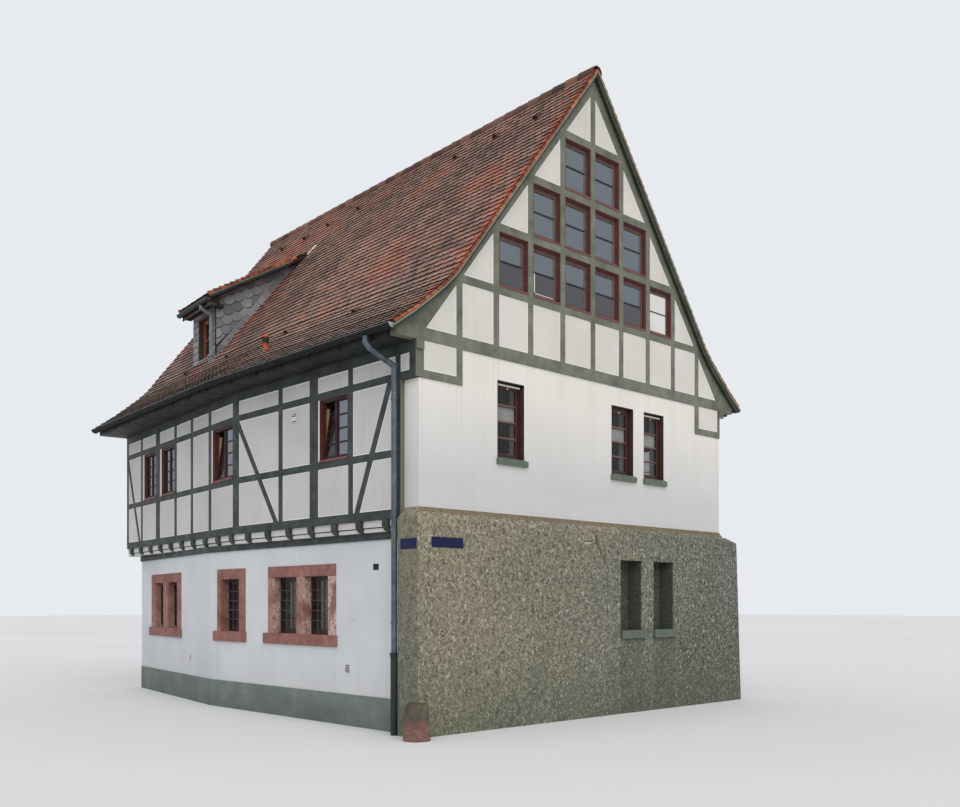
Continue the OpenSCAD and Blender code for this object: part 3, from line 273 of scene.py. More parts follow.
def roughcast():
    s = Shade("roughcast", 0.92, spec=0.12)
    # Coarse worm-like grain, longer upright than across
    worm = s.noise(19, 3, 0.6, (1, 1, 0.85), 1.3)
    mid = s.noise(44, 3, 0.6, dist=0.6)
    warm = s.noise(0.5, 5, 0.6) * 0.8 + (0.18 - (s.y + 4.4) * 0.0544) + s.z * 0.075
    tone = s.ramp(warm, (0.2, "6a6e65"), (0.45, "7d7e72"), (0.7, "948d7a"), (0.9, "a1977f"))
    col = s.mix(0.9, tone, s.ramp(worm, (0.36, 0.30), (0.46, 0.78), (0.54, 1.0)), "MULTIPLY")
    col = s.mix(s.ramp(mid, (0.38, 0.45), (0.48, 0.0)), col, "45463c")
    col = s.mix(s.ramp(worm, (0.54, 0.0), (0.66, 0.7)), col, "c2bdab")
    # Darker and greener towards the foot
    low_green = (1.0 - s.z * 0.8).clamp() * s.noise(1.8, 5)
    col = s.mix(low_green.clamp() * 0.85, col, "55604c")
    # Run-off under the niches
    for y0, y1 in NICHE_WET:
        wet = (s.y > y0) * (s.y < y1) * (s.z < NICHE_FOOT - 0.01) * s.ramp(s.z, (0.25, 0.75), (1.0, 0.9))
        col = s.mix(wet * s.ramp(s.noise(3, 4), (0.35, 0.25), (0.6, 0.6)), col, "5a584e")
    # The worn brown line under the wall
    col = s.mix((s.z + s.noise(6, 4) * 0.09 > 3.52) * s.facing(0) * 0.9, col, "79664f")
    # Painted shade on the faces turned to the street
    col = s.mix(s.ramp(s.facing(1) * -1.0, (0.5, 0.0), (0.9, 0.45)), col, "666b60")
    # Painted shade inside the two niches
    niche_shade = (s.x < NICHE_FACE) * (s.z > NICHE_FOOT) * (s.z < NICHE_HEAD) * (s.y > 0.38) * (s.y < 2.13)
    col = s.mix(niche_shade * 0.66, col, "40403d")
    s.bump(worm, 1.0, 0.02)
    s.bump(mid, 0.6, 0.008)
    s.bump(s.noise(130, 4, 0.7), 0.5, 0.003)
    s.done(col)


def strip():
    s = Shade("strip", 0.88, spec=0.2)
    col = s.ramp(s.noise(1.6, 6, 0.7), (0.3, "666d68"), (0.55, "767e79"), (0.75, "868c84"))
    low = (0.45 - s.z).clamp() * 1.3
    s.bump(s.noise(70, 5, 0.75), 0.5, 0.004)
    s.done(s.mix(low.clamp() * s.noise(4, 5), col, "4a4b40"))


def sandstone():
    s = Shade("sandstone", 0.85, spec=0.2)
    n = s.noise(3.0, 7, 0.7, dist=0.5)
    col = s.ramp(n, (0.28, "6f4841"), (0.45, "8a6058"), (0.6, "9b6f66"), (0.8, "b08478"))
    # Old stones weather in pale upright patches, most on the reveals and the jamb nearest the corner
    old = s.ramp(s.noise(2.6, 3, 0.5, (0.8, 0.8, 0.5)), (0.40, 0.0), (0.51, 1.0))
    old = old * (s.z < LINTEL) * (s.z > SILL_BLOCK) * (abs(s.x - EVEN_STONE) > 0.85)
    most = ((abs(s.facing(0)) > 0.6) + (s.x > LAST_JAMB)).clamp()
    old = old * (most * 0.65 + 0.35) * ((s.x > EVEN_STONE) * 0.6 + 0.4)
    pale = s.ramp(s.noise(15, 6, 0.75, (1.3, 1.3, 0.8)), (0.39, 0.0), (0.57, 0.9))
    col = s.mix(old * pale, col, "dac4b5")
    col = s.mix(s.ramp(s.noise(34, 5, 0.8), (0.6, 0.0), (0.72, 0.7)) * old, col, "e0cdbb")
    col = s.mix(s.ramp(s.noise(17, 4, 0.7), (0.66, 0.0), (0.74, 0.6)), col, "59352f")
    s.soften(0.008)
    s.bump(n, 0.35, 0.012)
    s.bump(s.noise(60, 5, 0.8), 0.5, 0.004)
    s.done(col)


def slate():
    s = Shade("slate", 0.55, spec=0.4)
    col = s.ramp(s.island(), (0.1, "6a6b6f"), (0.5, "7e7f83"), (0.9, "949598"))
    col = s.mix(s.ramp(s.noise(12, 6, 0.7), (0.4, 0.0), (0.75, 0.3)), col, "55565a")
    s.bump(s.noise(9, 5, 0.7, (3, 3, 1)), 0.3, 0.003)
    s.done(col, s.ramp(s.noise(18, 4), (0.3, 0.42), (0.7, 0.68)))


def guard():
    s = Shade("guard", 0.9, spec=0.15)
    foot = s.ramp(s.z + s.noise(5, 3) * 0.2, (0.30, 1.0), (0.44, 0.0))
    s.soften(0.03)
    s.bump(s.noise(11, 6, 0.7), 0.7, 0.03)
    s.done(s.mix(foot, s.ramp(s.noise(5, 6, 0.75), (0.3, "4b463d"), (0.6, "665f53"), (0.8, "7d7566")),
                 s.ramp(s.noise(7, 5, 0.7), (0.35, "6b4f48"), (0.7, "94706a"))))


def fittings():
    """White covers low on the wall, a dark vent higher up."""
    s = Shade("fittings", 0.6, spec=0.3)
    s.done(s.mix(s.z > 2.0, s.ramp(s.noise(9, 4), (0.3, "b9bbb9"), (0.7, "cfd0ce")), "1c1c1c"))


def enamel():
    s = Shade("enamel", 0.4, spec=0.25)
    s.done(s.ramp(s.noise(6, 4), (0.3, "070b3a"), (0.7, "0b1044")))


def lace():
    s = Shade("lace", 0.9, spec=0.1)
    holes = s.wire("ShaderNodeTexVoronoi", {"Vector": s.co, "Scale": 75}, "Distance")
    s.t.links.new(s.ramp(holes, (0.30, 1.0), (0.48, 0.6)).socket, s.b.inputs["Alpha"])
    s.done(s.ramp(s.noise(8, 3), (0.3, "dfe0de"), (0.7, "f2f2f0")))


LOOKS = {
    plaster: {
        "gable_white": ("e9e4dd", "e2ddd6", 0.22, 0.35, "e2e7ec", True),
        # Plaster of the street walls, its own white made darker and cooler as painted shade
        "street_white": ("d5d7d8", "c8cbcd", 0.3),
        "panel_white": ("dcd6cf", "cfc9c1", 0.3, 0.45),
        # The street panels' white, made greyer as painted shade
        "panel_grey": ("cdcac6", "bfbcb9", 0.3, 0.45),
        "border_white": ("f3f2ee", "eceae6", 0.1, 0.2),
        "curtain": ("cdb9a4", "b9a28a", 0.1, 0.1),
        "blind": ("e3e2dc", "d2d0c9", 0.1, 0.1),
        # Painted shade of the line under the jetty's plaster panels
        "line_grey": ("5f5e58", "4d4c47", 0.1, 0.1),
        "crack": ("33342e", "262722", 0.1, 0.1),
        "flake": ("b3a797", "9b8f80", 0.1, 0.1),
        "screed": ("8b8984", "7a7873", 0.1)},
    timber: {
        "timber_street": ("373d3c", "2b302f", "454c4a"),
        "timber_corner": ("373d3c", "2b302f", "454c4a", 0.25, "6e7060"),
        "timber_gable": ("6f7262", "5b5e50", "808372"),
        "timber_dark": ("232625", "1b1d1c", "2e3130"),
        "trim_green": ("6a6e5e", "585b4e", "7b7f6e", 0.15),
        "trim_pale": ("848b78", "737967", "959c89", 0.15),
        "trim_dark": ("232624", "1a1c1b", "2d302e", 0.1),
        # Painted shade on the verge's board and soffit
        "verge_dark": ("343930", "292d26", "3f4439", 0.1),
        "block_brown": ("57534a", "45423a", "66625a", 0.1)},
    paint: {
        "frame_red": ("43201f", "2c1616", 0.38),
        "lining_red": ("66302f", "4f2322", 0.45),
        "sill_red": ("854a49", "6b3634", 0.45),
        "frame_brown": ("9a5a2c", "6e3c1d", 0.45),
        "sash_red": ("5c2d29", "46211f", 0.5),
        "bar_rose": ("7c5b57", "64443f", 0.5),
        "stile_brown": ("6a4941", "553832", 0.5),
        "sash_dark": ("33211f", "241816", 0.5, 0.25),
        "bead_grey": ("8f908e", "7d7e7c", 0.5),
        "casing_brown": ("4e3a30", "382a24", 0.5),
        "strip_white": ("dedcd6", "c9c7c0", 0.5),
        "bar_dark": ("2c2220", "1d1615", 0.4),
        "iron_bar": ("5d4d46", "43362f", 0.55),
        "sill_green": ("626c5f", "4e574c", 0.45)},
    metal: {
        "zinc_dark": ("0b0c0d", "070708", 0.9, 0.0),
        "zinc": ("646f75", "4a5258", 0.45, 0.6),
        "zinc_dormer": ("7d878c", "656e73", 0.6, 0.1, 8.665),
        "zinc_pale": ("a9b1b5", "868e92", 0.45, 0.6),
        "lead": ("9aa1a5", "777e83", 0.55, 0.5),
        "gutter_lip": ("7b8488", "5d6569", 0.6, 0.2),
        "gutter_joint": ("33383b", "24282a", 0.6, 0.1),
        "iron": ("2b3034", "1d2124", 0.55, 0.3)},
    clay: {
        "tiles": (((0.2, "55443f"), (0.36, "786058"), (0.5, "957468"), (0.64, "a9806f"), (0.8, "bb8f7c"),
                   (0.94, "cda08c")), 0.4, 0.68, "150f0e"),
        "tiles_orange": (((0.12, "8a4f3c"), (0.42, "a65b41"), (0.72, "bd6b4b"), (0.94, "cb7c59")),
                         0.2, 0.3, "2e1913"),
        "tile_edge": (((0.15, "7c4434"), (0.5, "a35a41"), (0.85, "bb6d50")), 0.3, 0.15),
        "ridge": (((0.15, "4d3731"), (0.5, "6b4c42"), (0.85, "8a6353")), 0.6, 0.3),
        "terracotta": (((0.2, "b8553c"), (0.7, "cf6a4c")), 0.1, 0.3)},
    boards: {
        "boards": ("8a7357", "6b5640", 0.16),
        "door": ("4d3828", "35261a", 0.18)},
    glass: {
        "window_glass": (0.36, 1.85, "101214"),
        "lace_glass": (0.2, 1.85, "101214"),
        "attic_glass": (0.9, 2.85, "1a2024", (0.80, 0.91, 1.0)),
        "attic_low": (0.9, 1.9, "1b1b1d"),
        "sky_glass": (0.9, 3.0, "20262a", (0.84, 0.93, 1.0)),
        "ground_glass": (0.88, 1.75, "191614")},
}
for make, looks in LOOKS.items():
    for name, values in looks.items():
        make(name, *values)
for make in (roughcast, strip, sandstone, slate, guard, fittings, enamel, lace):
    make()

CAD_LOOK = {
    "gable_white": "gable_wall", "street_white": "street_wall rear_wall back_wall",
    "roughcast": "gable_plinth", "strip": "base_strip", "screed": "ground_slab",
    "timber_corner": "wall_plate street_frame", "timber_street": "jetty_joists back_frame",
    "timber_gable": "gable_frame rear_frame", "panel_grey": "jetty_infill street_panels back_panels",
    "panel_white": "gable_panels rear_panels", "boards": "upper_floor attic_floor",
    "tiles": "roof_front roof_back dormer_roof", "ridge": "ridge_tiles", "trim_green": "barge_boards",
    "timber_dark": "eaves_soffits", "zinc_dark": "gutters", "zinc": "downpipe", "iron": "downpipe_foot",
    "trim_dark": "dormer_front dormer_cheeks", "frame_brown": "dormer_window", "zinc_dormer": "dormer_gutter",
    "frame_red": "attic_windows gable_windows street_windows hidden_windows", "attic_glass": "attic_glass",
    "lace_glass": "gable_glass", "sill_green": "gable_sills", "window_glass": "street_glass hidden_glass",
    "bar_dark": "ground_windows", "ground_glass": "ground_glass", "sandstone": "stone_surrounds",
    "door": "back_door", "enamel": "street_plates", "terracotta": "vent_pipe", "guard": "guard_stone",
    "fittings": "wall_fittings",
}
for look, nodes in CAD_LOOK.items():
    for node in nodes.split():
        mats = NODES[node].data.materials
        mats.clear()
        mats.append(MAT[look])


# Mesh making
def on_circle(r, degrees):
    """The point at an angle on a circle."""
    return math.cos(math.radians(degrees)) * r, math.sin(math.radians(degrees)) * r


def axes(x, y, z, origin=(0, 0, 0)):
    m = Matrix((x, y, z)).transposed().to_4x4()
    m.translation = origin
    return m


def piece(me, slot, *mats):
    """A new object of a mesh, named like it, which rides on the house."""
    for m in mats:
        me.materials.append(MAT[m])
    ob = bpy.data.objects.new(me.name, me)
    bpy.context.collection.objects.link(ob)
    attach(ob, "root")
    return ob


class Build:
    """Collects closed shapes into one mesh."""

    def __init__(self):
        self.v, self.f, self.m = [], [], []

    def add(self, verts, faces, mat=0):
        k = len(self.v)
        self.v += [tuple(p) for p in verts]
        self.f += [[i + k for i in f] for f in faces]
        self.m += [mat] * len(faces)

    def loft(self, rings, mat=0):
        """A solid through rings of as many points each, closed at both ends."""
        n, last = len(rings[0]), (len(rings) - 1) * len(rings[0])
        sides = [[k + i, k + (i + 1) % n, k + n + (i + 1) % n, k + n + i] for k in range(0, last, n)
                 for i in range(n)]
        self.add([p for ring in rings for p in ring],
                 [list(range(n))[::-1], list(range(last, last + n))] + sides, mat)

    def prism(self, outline, h0, h1, at, mat=0):
        """A flat outline in the frame's XY drawn out along its Z."""
        self.loft([[at @ Vector((x, y, h)) for x, y in outline] for h in (h0, h1)], mat)

    def box(self, lo, hi, at, mat=0):
        """A block between two corners, in the local frame at."""
        (a, b, c), (d, e, f) = lo, hi
        self.prism([(a, b), (d, b), (d, e), (a, e)], c, f, at, mat)

    def ring(self, x, y, t, d0, d1, at, mat=0):
        """A rectangular ring of width t between two depths, centred, of half width x and half height y."""
        for x0, y0, x1, y1 in ((-x, -y, x, t - y), (-x, y - t, x, y), (-x, t - y, t - x, y - t),
                               (x - t, t - y, x, y - t)):
            self.box((x0, y0, d0), (x1, y1, d1), at, mat)

    def sweep(self, section, path, mat=0):
        """A section of (side, up) offsets carried along path points with frames (p, side, up)."""
        self.loft([[p + s * a + u * b for a, b in section] for p, s, u in path], mat)

    def tube(self, a, b, r, n=16, mat=0):
        d = (b - a).normalized()
        s = d.orthogonal().normalized()
        self.sweep([on_circle(r, 360 * i / n) for i in range(n)], [(p, s, d.cross(s)) for p in (a, b)], mat)

    def make(self, name, mats, slot, smooth=False, bevel=0.0, replaces=()):
        me = bpy.data.meshes.new(name)
        me.from_pydata(self.v, [], self.f)
        me.polygons.foreach_set("material_index", self.m)
        bm = bmesh.new()
        bm.from_mesh(me)
        bmesh.ops.recalc_face_normals(bm, faces=bm.faces)
        bm.to_mesh(me)
        bm.free()
        if smooth:
            me.polygons.foreach_set("use_smooth", [True] * len(me.polygons))
            me.set_sharp_from_angle(angle=math.radians(40))
        ob = piece(me, slot, *mats)
        if bevel:
            mod = ob.modifiers.new("edge", "BEVEL")
            mod.width, mod.segments, mod.limit_method = bevel, 1, "ANGLE"
        if replaces:
            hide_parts(*replaces)


def loose_parts(node):
    """The separate solids of a node, each as its set of points."""
    me = NODES[node].data
    places, groups = {}, {}
    idx = [places.setdefault(tuple(round(c * 1e4) for c in v.co), len(places)) for v in me.vertices]
    parent = list(range(len(places)))

    def find(a):
        while parent[a] != a:
            parent[a] = parent[parent[a]]
            a = parent[a]
        return a

    for poly in me.polygons:
        first, *rest = [idx[i] for i in poly.vertices]
        for b in rest:
            parent[find(b)] = find(first)
    for place, i in places.items():
        groups.setdefault(find(i), []).append(place)
    return [np.array(g) / 1e4 for g in groups.values()]


def sheet_frame(points):
    """Frame of a flat upright solid: X along it, Y up it, Z out of the house, and its three half sizes."""
    mid = points.mean(axis=0)
    plan = points[:, :2] - mid[:2]
    vec = np.linalg.eigh(plan.T @ plan)[1]
    out = Vector((vec[0, 1], vec[1, 1], 0)).normalized().cross(UP)
    if out.dot(Vector((mid[0], mid[1], 0))) < 0:
        out = -out
    side = np.stack([points @ np.array(out), points[:, 2]], axis=1)
    side -= side.mean(axis=0)
    vec = np.linalg.eigh(side.T @ side)[1]
    rise = out * vec[0, 1] + UP * vec[1, 1]
    if rise.z < 0:
        rise = -rise
    right = UP.cross(out)
    ways = right, rise, right.cross(rise)
    spans = [points @ np.array(way) for way in ways]
    centre = sum((way * float(s.min() + s.max()) / 2 for way, s in zip(ways, spans)), Vector((0, 0, 0)))
    return axes(*ways, centre), *[float(s.max() - s.min()) / 2 for s in spans]


def sheets(node):
    """Frame, half width, half height and half depth of each flat solid of a node."""
    return [sheet_frame(points) for points in loose_parts(node)]


# Plan of the roof, as in the model
BEND_UP = math.radians(6.6)
D2 = np.array([-math.cos(BEND_UP), math.sin(BEND_UP)])
D3 = np.array([math.sin(BEND_UP), math.cos(BEND_UP)])
RIDGE_Z, EAVE_Z = 11.8, 6.29
VERGE, SKEW = 0.125, 0.0419
GABLE_W, FRONT = 8.3, 5.38


def meet(p, d, q, e):
    k = ((q[0] - p[0]) * e[1] - (q[1] - p[1]) * e[0]) / (d[0] * e[1] - d[1] * e[0])
    return np.array(p) + k * np.array(d)


FAR = np.array([-FRONT, -0.085]) + 6.56 * D2
VERGE_P = FAR + 0.11 * D2
# Ends and bends of the ridge, of the street eaves and of the back eaves
R0 = np.array([VERGE, GABLE_W / 2 - VERGE * SKEW])
R1 = np.array([-FRONT, GABLE_W / 2 + FRONT * SKEW])
R2 = meet(VERGE_P, D3, R1, (-1, SKEW))
E0, E1, E2 = np.array([VERGE, -0.585]), np.array([-FRONT, -0.585]), VERGE_P - 0.72 * D3
B0, B2 = np.array([VERGE, 8.885]), 2 * R2 - E2
B1 = meet(R1, (0, 1), B0, B2 - B0)
MID = np.array([(0.509 + E2[0] - 0.095 * D3[0]) / 2, (E0[1] + B2[1]) / 2])
RISE = (RIDGE_Z - EAVE_Z) / 5.51
PROFILE = np.array([(0, RIDGE_Z), (0.7307, EAVE_Z + 1.05 * RISE), (0.7835, EAVE_Z + 0.8 * RISE),
                    (0.8363, EAVE_Z + 0.59 * RISE), (0.9145, EAVE_Z + 0.29 * RISE), (1, EAVE_Z)])


def on_plan(p, z):
    """A point of the site's plan as a point of the model's frame."""
    return Vector((*(np.array(p) - MID), z))


def lengths(points):
    """Lengths along a chain of points."""
    return np.concatenate([[0], np.cumsum([np.linalg.norm(b - a) for a, b in zip(points, points[1:])])])


def link(chain, length):
    """The link of a chain that a length falls in, and how far along the link."""
    k = min(max(int(np.searchsorted(chain, length, side="right")) - 1, 0), len(chain) - 2)
    return k, (length - chain[k]) / (chain[k + 1] - chain[k])


class Slope:
    """A tiled slope as a surface: u from gable to far verge, v from ridge to eaves, both by length."""

    def __init__(self, *ends):
        a, b, c = (np.array(e) - MID for e in ends)
        self.st = [a + (b - a) * i / 3 for i in range(4)] + [b + (c - b) * i / 5 for i in range(1, 6)]
        self.along = lengths([s.mean(axis=0) for s in self.st])
        self.down = [lengths([np.array([*(r + (g - r) * s), z]) for s, z in PROFILE]) for r, g in self.st]
        self.length = self.along[-1]
        self.depth = sum(d[-1] for d in self.down) / len(self.down)

    def section(self, k, v):
        r, g = self.st[k]
        i, f = link(self.down[k], v * self.down[k][-1])
        s, z = PROFILE[i] + (PROFILE[i + 1] - PROFILE[i]) * f
        return np.array([*(r + (g - r) * s), z])

    def point(self, u, v):
        k, f = link(self.along, u * self.length)
        return self.section(k, v) * (1 - f) + self.section(k + 1, v) * f

    def frame(self, u, v):
        """Point, direction along, direction down the slope and outward normal."""
        a = self.point(min(u + 0.004, 1.02), v) - self.point(max(u - 0.004, -0.02), v)
        d = self.point(u, min(v + 0.006, 1.0)) - self.point(u, max(v - 0.006, 0.0))
        a, d = Vector(a).normalized(), Vector(d).normalized()
        n = a.cross(d).normalized()
        return Vector(self.point(u, v)), a, d, -n if n.z < 0 else n


TILE_W, TILE_SHOW, TILE_T, TILE_GAP = 0.172, 0.152, 0.017, 0.004
TILE_L = TILE_SHOW * 1.28
# Rounded tail of a tile
ARC = [(0.5, -0.034), (0.42, -0.015), (0.25, -0.003), (0, 0), (-0.25, -0.003), (-0.42, -0.015),
       (-0.5, -0.034)]

# The dormer, from its near front corner: X along its front, Y up the slope
DORMER = Matrix.Translation(on_plan((-8.235, 1.07), 0)) @ Matrix.Rotation(-BEND_UP, 4, "Z")
TO_DORMER = DORMER.inverted()
DORMER_W, DORMER_Z, DORMER_SIDE, DORMER_OUT = 1.28, 8.75, 0.25, 0.22
DORMER_RISE = math.radians(30)


def dormer_under(y):
    """Underside of the dormer roof."""
    return DORMER_Z + (y + DORMER_OUT) * math.tan(DORMER_RISE)


def main_roof(x, y):
    """Height of the main slope round the dormer."""
    return 7.483 - 0.056 * x + 1.257 * y


def dormer_keep_out(q):
    """True where the dormer stands on the street slope."""
    if q.z > dormer_under(q.y) + 0.09:
        return False
    if -DORMER_W < q.x < 0 and q.y > -0.03:
        return True
    return -DORMER_W - DORMER_SIDE < q.x < DORMER_SIDE and q.z + 0.05 > dormer_under(q.y)


def tile(b, p, a, d, n, w, show, lift, twist, mat):
    """One plain tile with a rounded tail: p is the middle of its tail."""
    a, d = (a + d * twist).normalized(), (d - a * twist).normalized()
    tail = lift + TILE_T
    head = 0.006 + (tail - 0.006) * 0.15
    out = [(x * w, y, tail) for x, y in ARC] + [(-0.5 * w, -show, head), (0.5 * w, -show, head)]
    top = [p + a * x + d * y + n * z for x, y, z in out]
    k = len(out)
    # All its sides but the one at its head
    sides = [[i, (i + 1) % k, k + (i + 1) % k, k + i] for i in range(k) if i != k - 2]
    b.add(top + [q - n * TILE_T for q in top], [list(range(k))] + sides, mat)


def course(odd, cols):
    """For each tile of a course its number, place, share of a full width, and whether it is at an end."""
    for c in range(cols + odd):
        part = 0.5 if odd and c in (0, cols) else 1.0
        yield c, min(max(c + 0.5 - 0.5 * odd, 0.25), cols - 0.25), part, c in (0, cols - 1 + odd)


def tile_slope(name, slope, street):
    b = Build()
    rows, cols = round(slope.depth / TILE_SHOW), round(slope.length / TILE_W)
    w = slope.length / cols - TILE_GAP
    for r in range(rows):
        v = 1 - r / rows
        for c, place, part, edge in course(r % 2, cols):
            p, a, d, n = slope.frame(place / cols, v)
            q = TO_DORMER @ p
            if street and dormer_keep_out(q):
                continue
            near = 0.01 + 0.4 * math.exp(-c / 0.9) if c < 4 else 0.005
            beside = street and 0 < q.x < 0.21 and -0.05 < q.y < 1.9
            orange = edge or rng.random() < near or beside
            lift = 0.016 + rng.uniform(-0.003, 0.004)
            tile(b, p + d * rng.uniform(-0.004, 0.004), a, d, n, w * part, min(TILE_L, v * slope.depth), lift,
                 rng.uniform(-0.012, 0.012), int(orange))
    b.make(name, ("tiles", "tiles_orange"), "tiles")


def ridge_caps():
    """Half round ridge tiles, each lapped over the next."""
    b = Build()
    a, c = on_plan(R0, RIDGE_Z - 0.062), on_plan(R2, RIDGE_Z - 0.062)
    d, length = (c - a).normalized(), (c - a).length
    n = round(length / 0.335)
    # Each ring has m points outside and m inside
    m = 13
    q = 2 * m
    for i in range(n):
        s0, s1 = i * length / n, min((i + 1) * length / n + 0.045, length)
        lift = rng.uniform(-0.003, 0.003)
        points, faces = [], []
        for s, outer in ((s0, 0.118), (s0 + 0.02, 0.121), (s1 - 0.06, 0.132), (s1 - 0.05, 0.134), (s1, 0.134)):
            for r in (outer, outer - 0.014):
                arc = [on_circle(r, -38 + 256 * k / (m - 1)) for k in range(m)]
                points += [a + d * s + d.cross(UP) * x + UP * (y + lift) for x, y in arc]
        for j in range(0, 4 * q, q):
            for k in range(j, j + m - 1):
                faces.append([k, k + 1, k + q + 1, k + q])
                faces.append([k + m + 1, k + m, k + q + m, k + q + m + 1])
            faces.append([j, j + q, j + q + m, j + m])
            faces.append([j + m - 1, j + q - 1, j + 2 * q - 1, j + q + m - 1])
        for j in (0, 4 * q):
            ends = [[k, k + 1, k + m + 1, k + m] for k in range(j, j + m - 1)]
            faces += ends if j else [f[::-1] for f in ends]
        b.add(points, faces)
    b.make("ridge_caps", ("ridge",), "ridge", smooth=True, replaces=("ridge_tiles",))


def verge_edges():
    """Tile ends, mouldings and soffit boards along both verges."""
    tiles, trim = Build(), Build()
    end = [(0.0, -0.030), (0.0, 0.017), (0.012 - TILE_SHOW, 0.001), (0.012 - TILE_SHOW, -0.030)]
    for slope in (street_slope, back_slope):
        for u, sign in ((0.0, 1), (1.0, -1)):
            rows = round(slope.depth / TILE_SHOW)
            for k in range(rows):
                p, a, d, n = slope.frame(u, 1 - k / rows)
                tiles.loft([[p - a * sign * x + d * y + n * z for y, z in end] for x in (-0.03, 0.011)])
            spots = [slope.frame(u, k / 60) for k in range(61)]
            plumb = [(p, Vector((-a.x * sign, -a.y * sign, 0)).normalized(), UP) for p, a, d, n in spots]
            # A pale moulding over a board painted dark as shade, and the soffit under the overhang, painted
            # dark as shade too
            for x0, x1, z0, z1, mat in ((-0.02, 0.020, -0.074, -0.046, 0), (-0.02, 0.009, -0.127, -0.072, 1),
                                        (-0.118, -0.036, -0.126, -0.113, 1)):
                trim.sweep([(x0, z0), (x1, z0), (x1, z1), (x0, z1)], plumb, mat)
    tiles.make("verge_tiles", ("tile_edge",), "tiles")
    trim.make("verge_mouldings", ("trim_pale", "verge_dark"), "trim")


street_slope = Slope((R0, E0), (R1, E1), (R2, E2))
back_slope = Slope((R0, B0), (R1, B1), (R2, B2))
tile_slope("street_tiles", street_slope, True)
tile_slope("back_tiles", back_slope, False)
ridge_caps()
verge_edges()


# Dormer
def clip(outline, region):
    """The part of a convex outline that lies in a convex region."""
    for a, b in zip(region, region[1:] + region[:1]):
        left = [(b[0] - a[0]) * (y - a[1]) - (b[1] - a[1]) * (x - a[0]) for x, y in outline]
        inside = []
        for p, q, lp, lq in zip(outline, outline[1:] + outline[:1], left, left[1:] + left[:1]):
            if lp >= 0:
                inside.append(p)
            if lp * lq < 0:
                k = lp / (lp - lq)
                inside.append((p[0] + (q[0] - p[0]) * k, p[1] + (q[1] - p[1]) * k))
        outline = inside
    return outline


# Outline of a slate, across in widths and up in courses, and the least cut one that is laid, in square metres
SCALE = [(-0.5, 1.35), (-0.5, 0.42), (-0.47, 0.26), (-0.38, 0.12), (-0.22, 0.03), (0.0, 0.0),
         (0.26, 0.05), (0.42, 0.18), (0.5, 0.42), (0.5, 1.35)]
LEAST_SLATE = 4e-4


def slates(b, region, at, wide, show, lean=0.0, base=0.003):
    """Scalloped slates over a convex region of the frame's XY, in courses that lean from the level."""
    c, s = math.cos(lean), math.sin(lean)
    us, vs = [x * c + y * s for x, y in region], [y * c - x * s for x, y in region]
    for r in range(-1, int((max(vs) - min(vs)) / show) + 2):
        v = min(vs) + r * show
        for k in range(-1, int((max(us) - min(us)) / wide) + 3):
            w = wide * rng.uniform(0.985, 0.995)
            u = min(us) + (k - 0.5 * (r % 2)) * wide
            slate = [(u + a * w, v + e * show) for a, e in SCALE]
            bed = [(u + a * w, v + min(e, 0.5) * show - 0.015) for a, e in SCALE]
            slate, bed = (clip([(x * c - y * s, x * s + y * c) for x, y in o], region) for o in (slate, bed))
            area = abs(sum(p[0] * q[1] - q[0] * p[1] for p, q in zip(slate, slate[1:] + slate[:1]))) / 2
            if area < LEAST_SLATE:
                continue
            if len(bed) > 2:
                b.prism(bed, base + 0.012, base + 0.0235, at, 1)
            back = [(x, y, base + 0.020 - 0.010 * (y * c - x * s - v) / (1.35 * show)) for x, y in slate]
            n = len(slate)
            sides = [[i, (i + 1) % n, n + (i + 1) % n, n + i] for i in range(n)]
            b.add([at @ Vector((x, y, z + t)) for t in (0.0, 0.008) for x, y, z in back],
                  [list(range(n, 2 * n)), *sides, list(range(n))[::-1]], 1)
            # Only the face is pale; the sides and the bed under it are painted dark as the shade between the
            # slates
            b.m[-n - 2] = 0


# Frame with X up the dormer's slope, Y upright and Z along its front
UPRIGHT = axes((0, 1, 0), (0, 0, 1), (1, 0, 0))
# Top of the roof slab of the dormer, and its two ends
SLAB = DORMER @ Matrix.Translation((0, -DORMER_OUT, DORMER_Z)) @ Matrix.Rotation(DORMER_RISE, 4, "X")
SLAB_ENDS = -DORMER_W - DORMER_SIDE, DORMER_SIDE
# Head of the dormer's front, and its window from left to right and from sill to head
FRONT_HEAD = DORMER_Z - 0.096
WINDOW = -0.952, -0.328, 7.50, 8.545
DORMER_FRONT = DORMER @ axes((1, 0, 0), (0, 0, 1), (0, -1, 0))


def dormer_slates(trim):
    """Slates of the cheeks and the front, and the lead where the cheeks meet the main roof."""
    b = Build()
    far = DORMER @ axes((0, -1, 0), (0, 0, 1), (-1, 0, 0), (-DORMER_W, 0, 0))
    low, top, start = 1.72, 2.0, -0.03
    for at, x, way in ((DORMER @ UPRIGHT, 0.0, 1), (far, -DORMER_W, -1)):
        foot, bend, head, lead = (main_roof(x, y) for y in (0, low, top, start))
        outlines = [[(-0.004, foot + 0.03), (top - 0.05, main_roof(x, top - 0.05) + 0.03),
                     (top, dormer_under(top) - 0.012), (-0.004, dormer_under(0) - 0.016)],
                    [(0.0, foot + 0.03), (low, bend + 0.03), (low, bend + 0.25), (0.0, foot + 0.25)],
                    [(start, lead + 0.02), (top, head + 0.02), (top, head + 0.062), (start, lead + 0.062)]]
        body, border, lead = ([(way * y, z) for y, z in o][::way] for o in outlines)
        slates(b, body, at, 0.25, 0.19, way * math.radians(27))
        slates(b, border, at, 0.2, 0.24, way * math.radians(50), 0.02)
        trim.prism(lead, 0.0, 0.03, at)
    left, right, sill, head = WINDOW
    for x0, x1, z0 in ((-DORMER_W, left, sill), (right, 0.0, sill), (left, right, head)):
        slates(b, [(x0, z0), (x1, z0), (x1, FRONT_HEAD), (x0, FRONT_HEAD)], DORMER_FRONT, 0.165, 0.15)
    b.make("dormer_slates", ("slate", "trim_dark"), "slate")


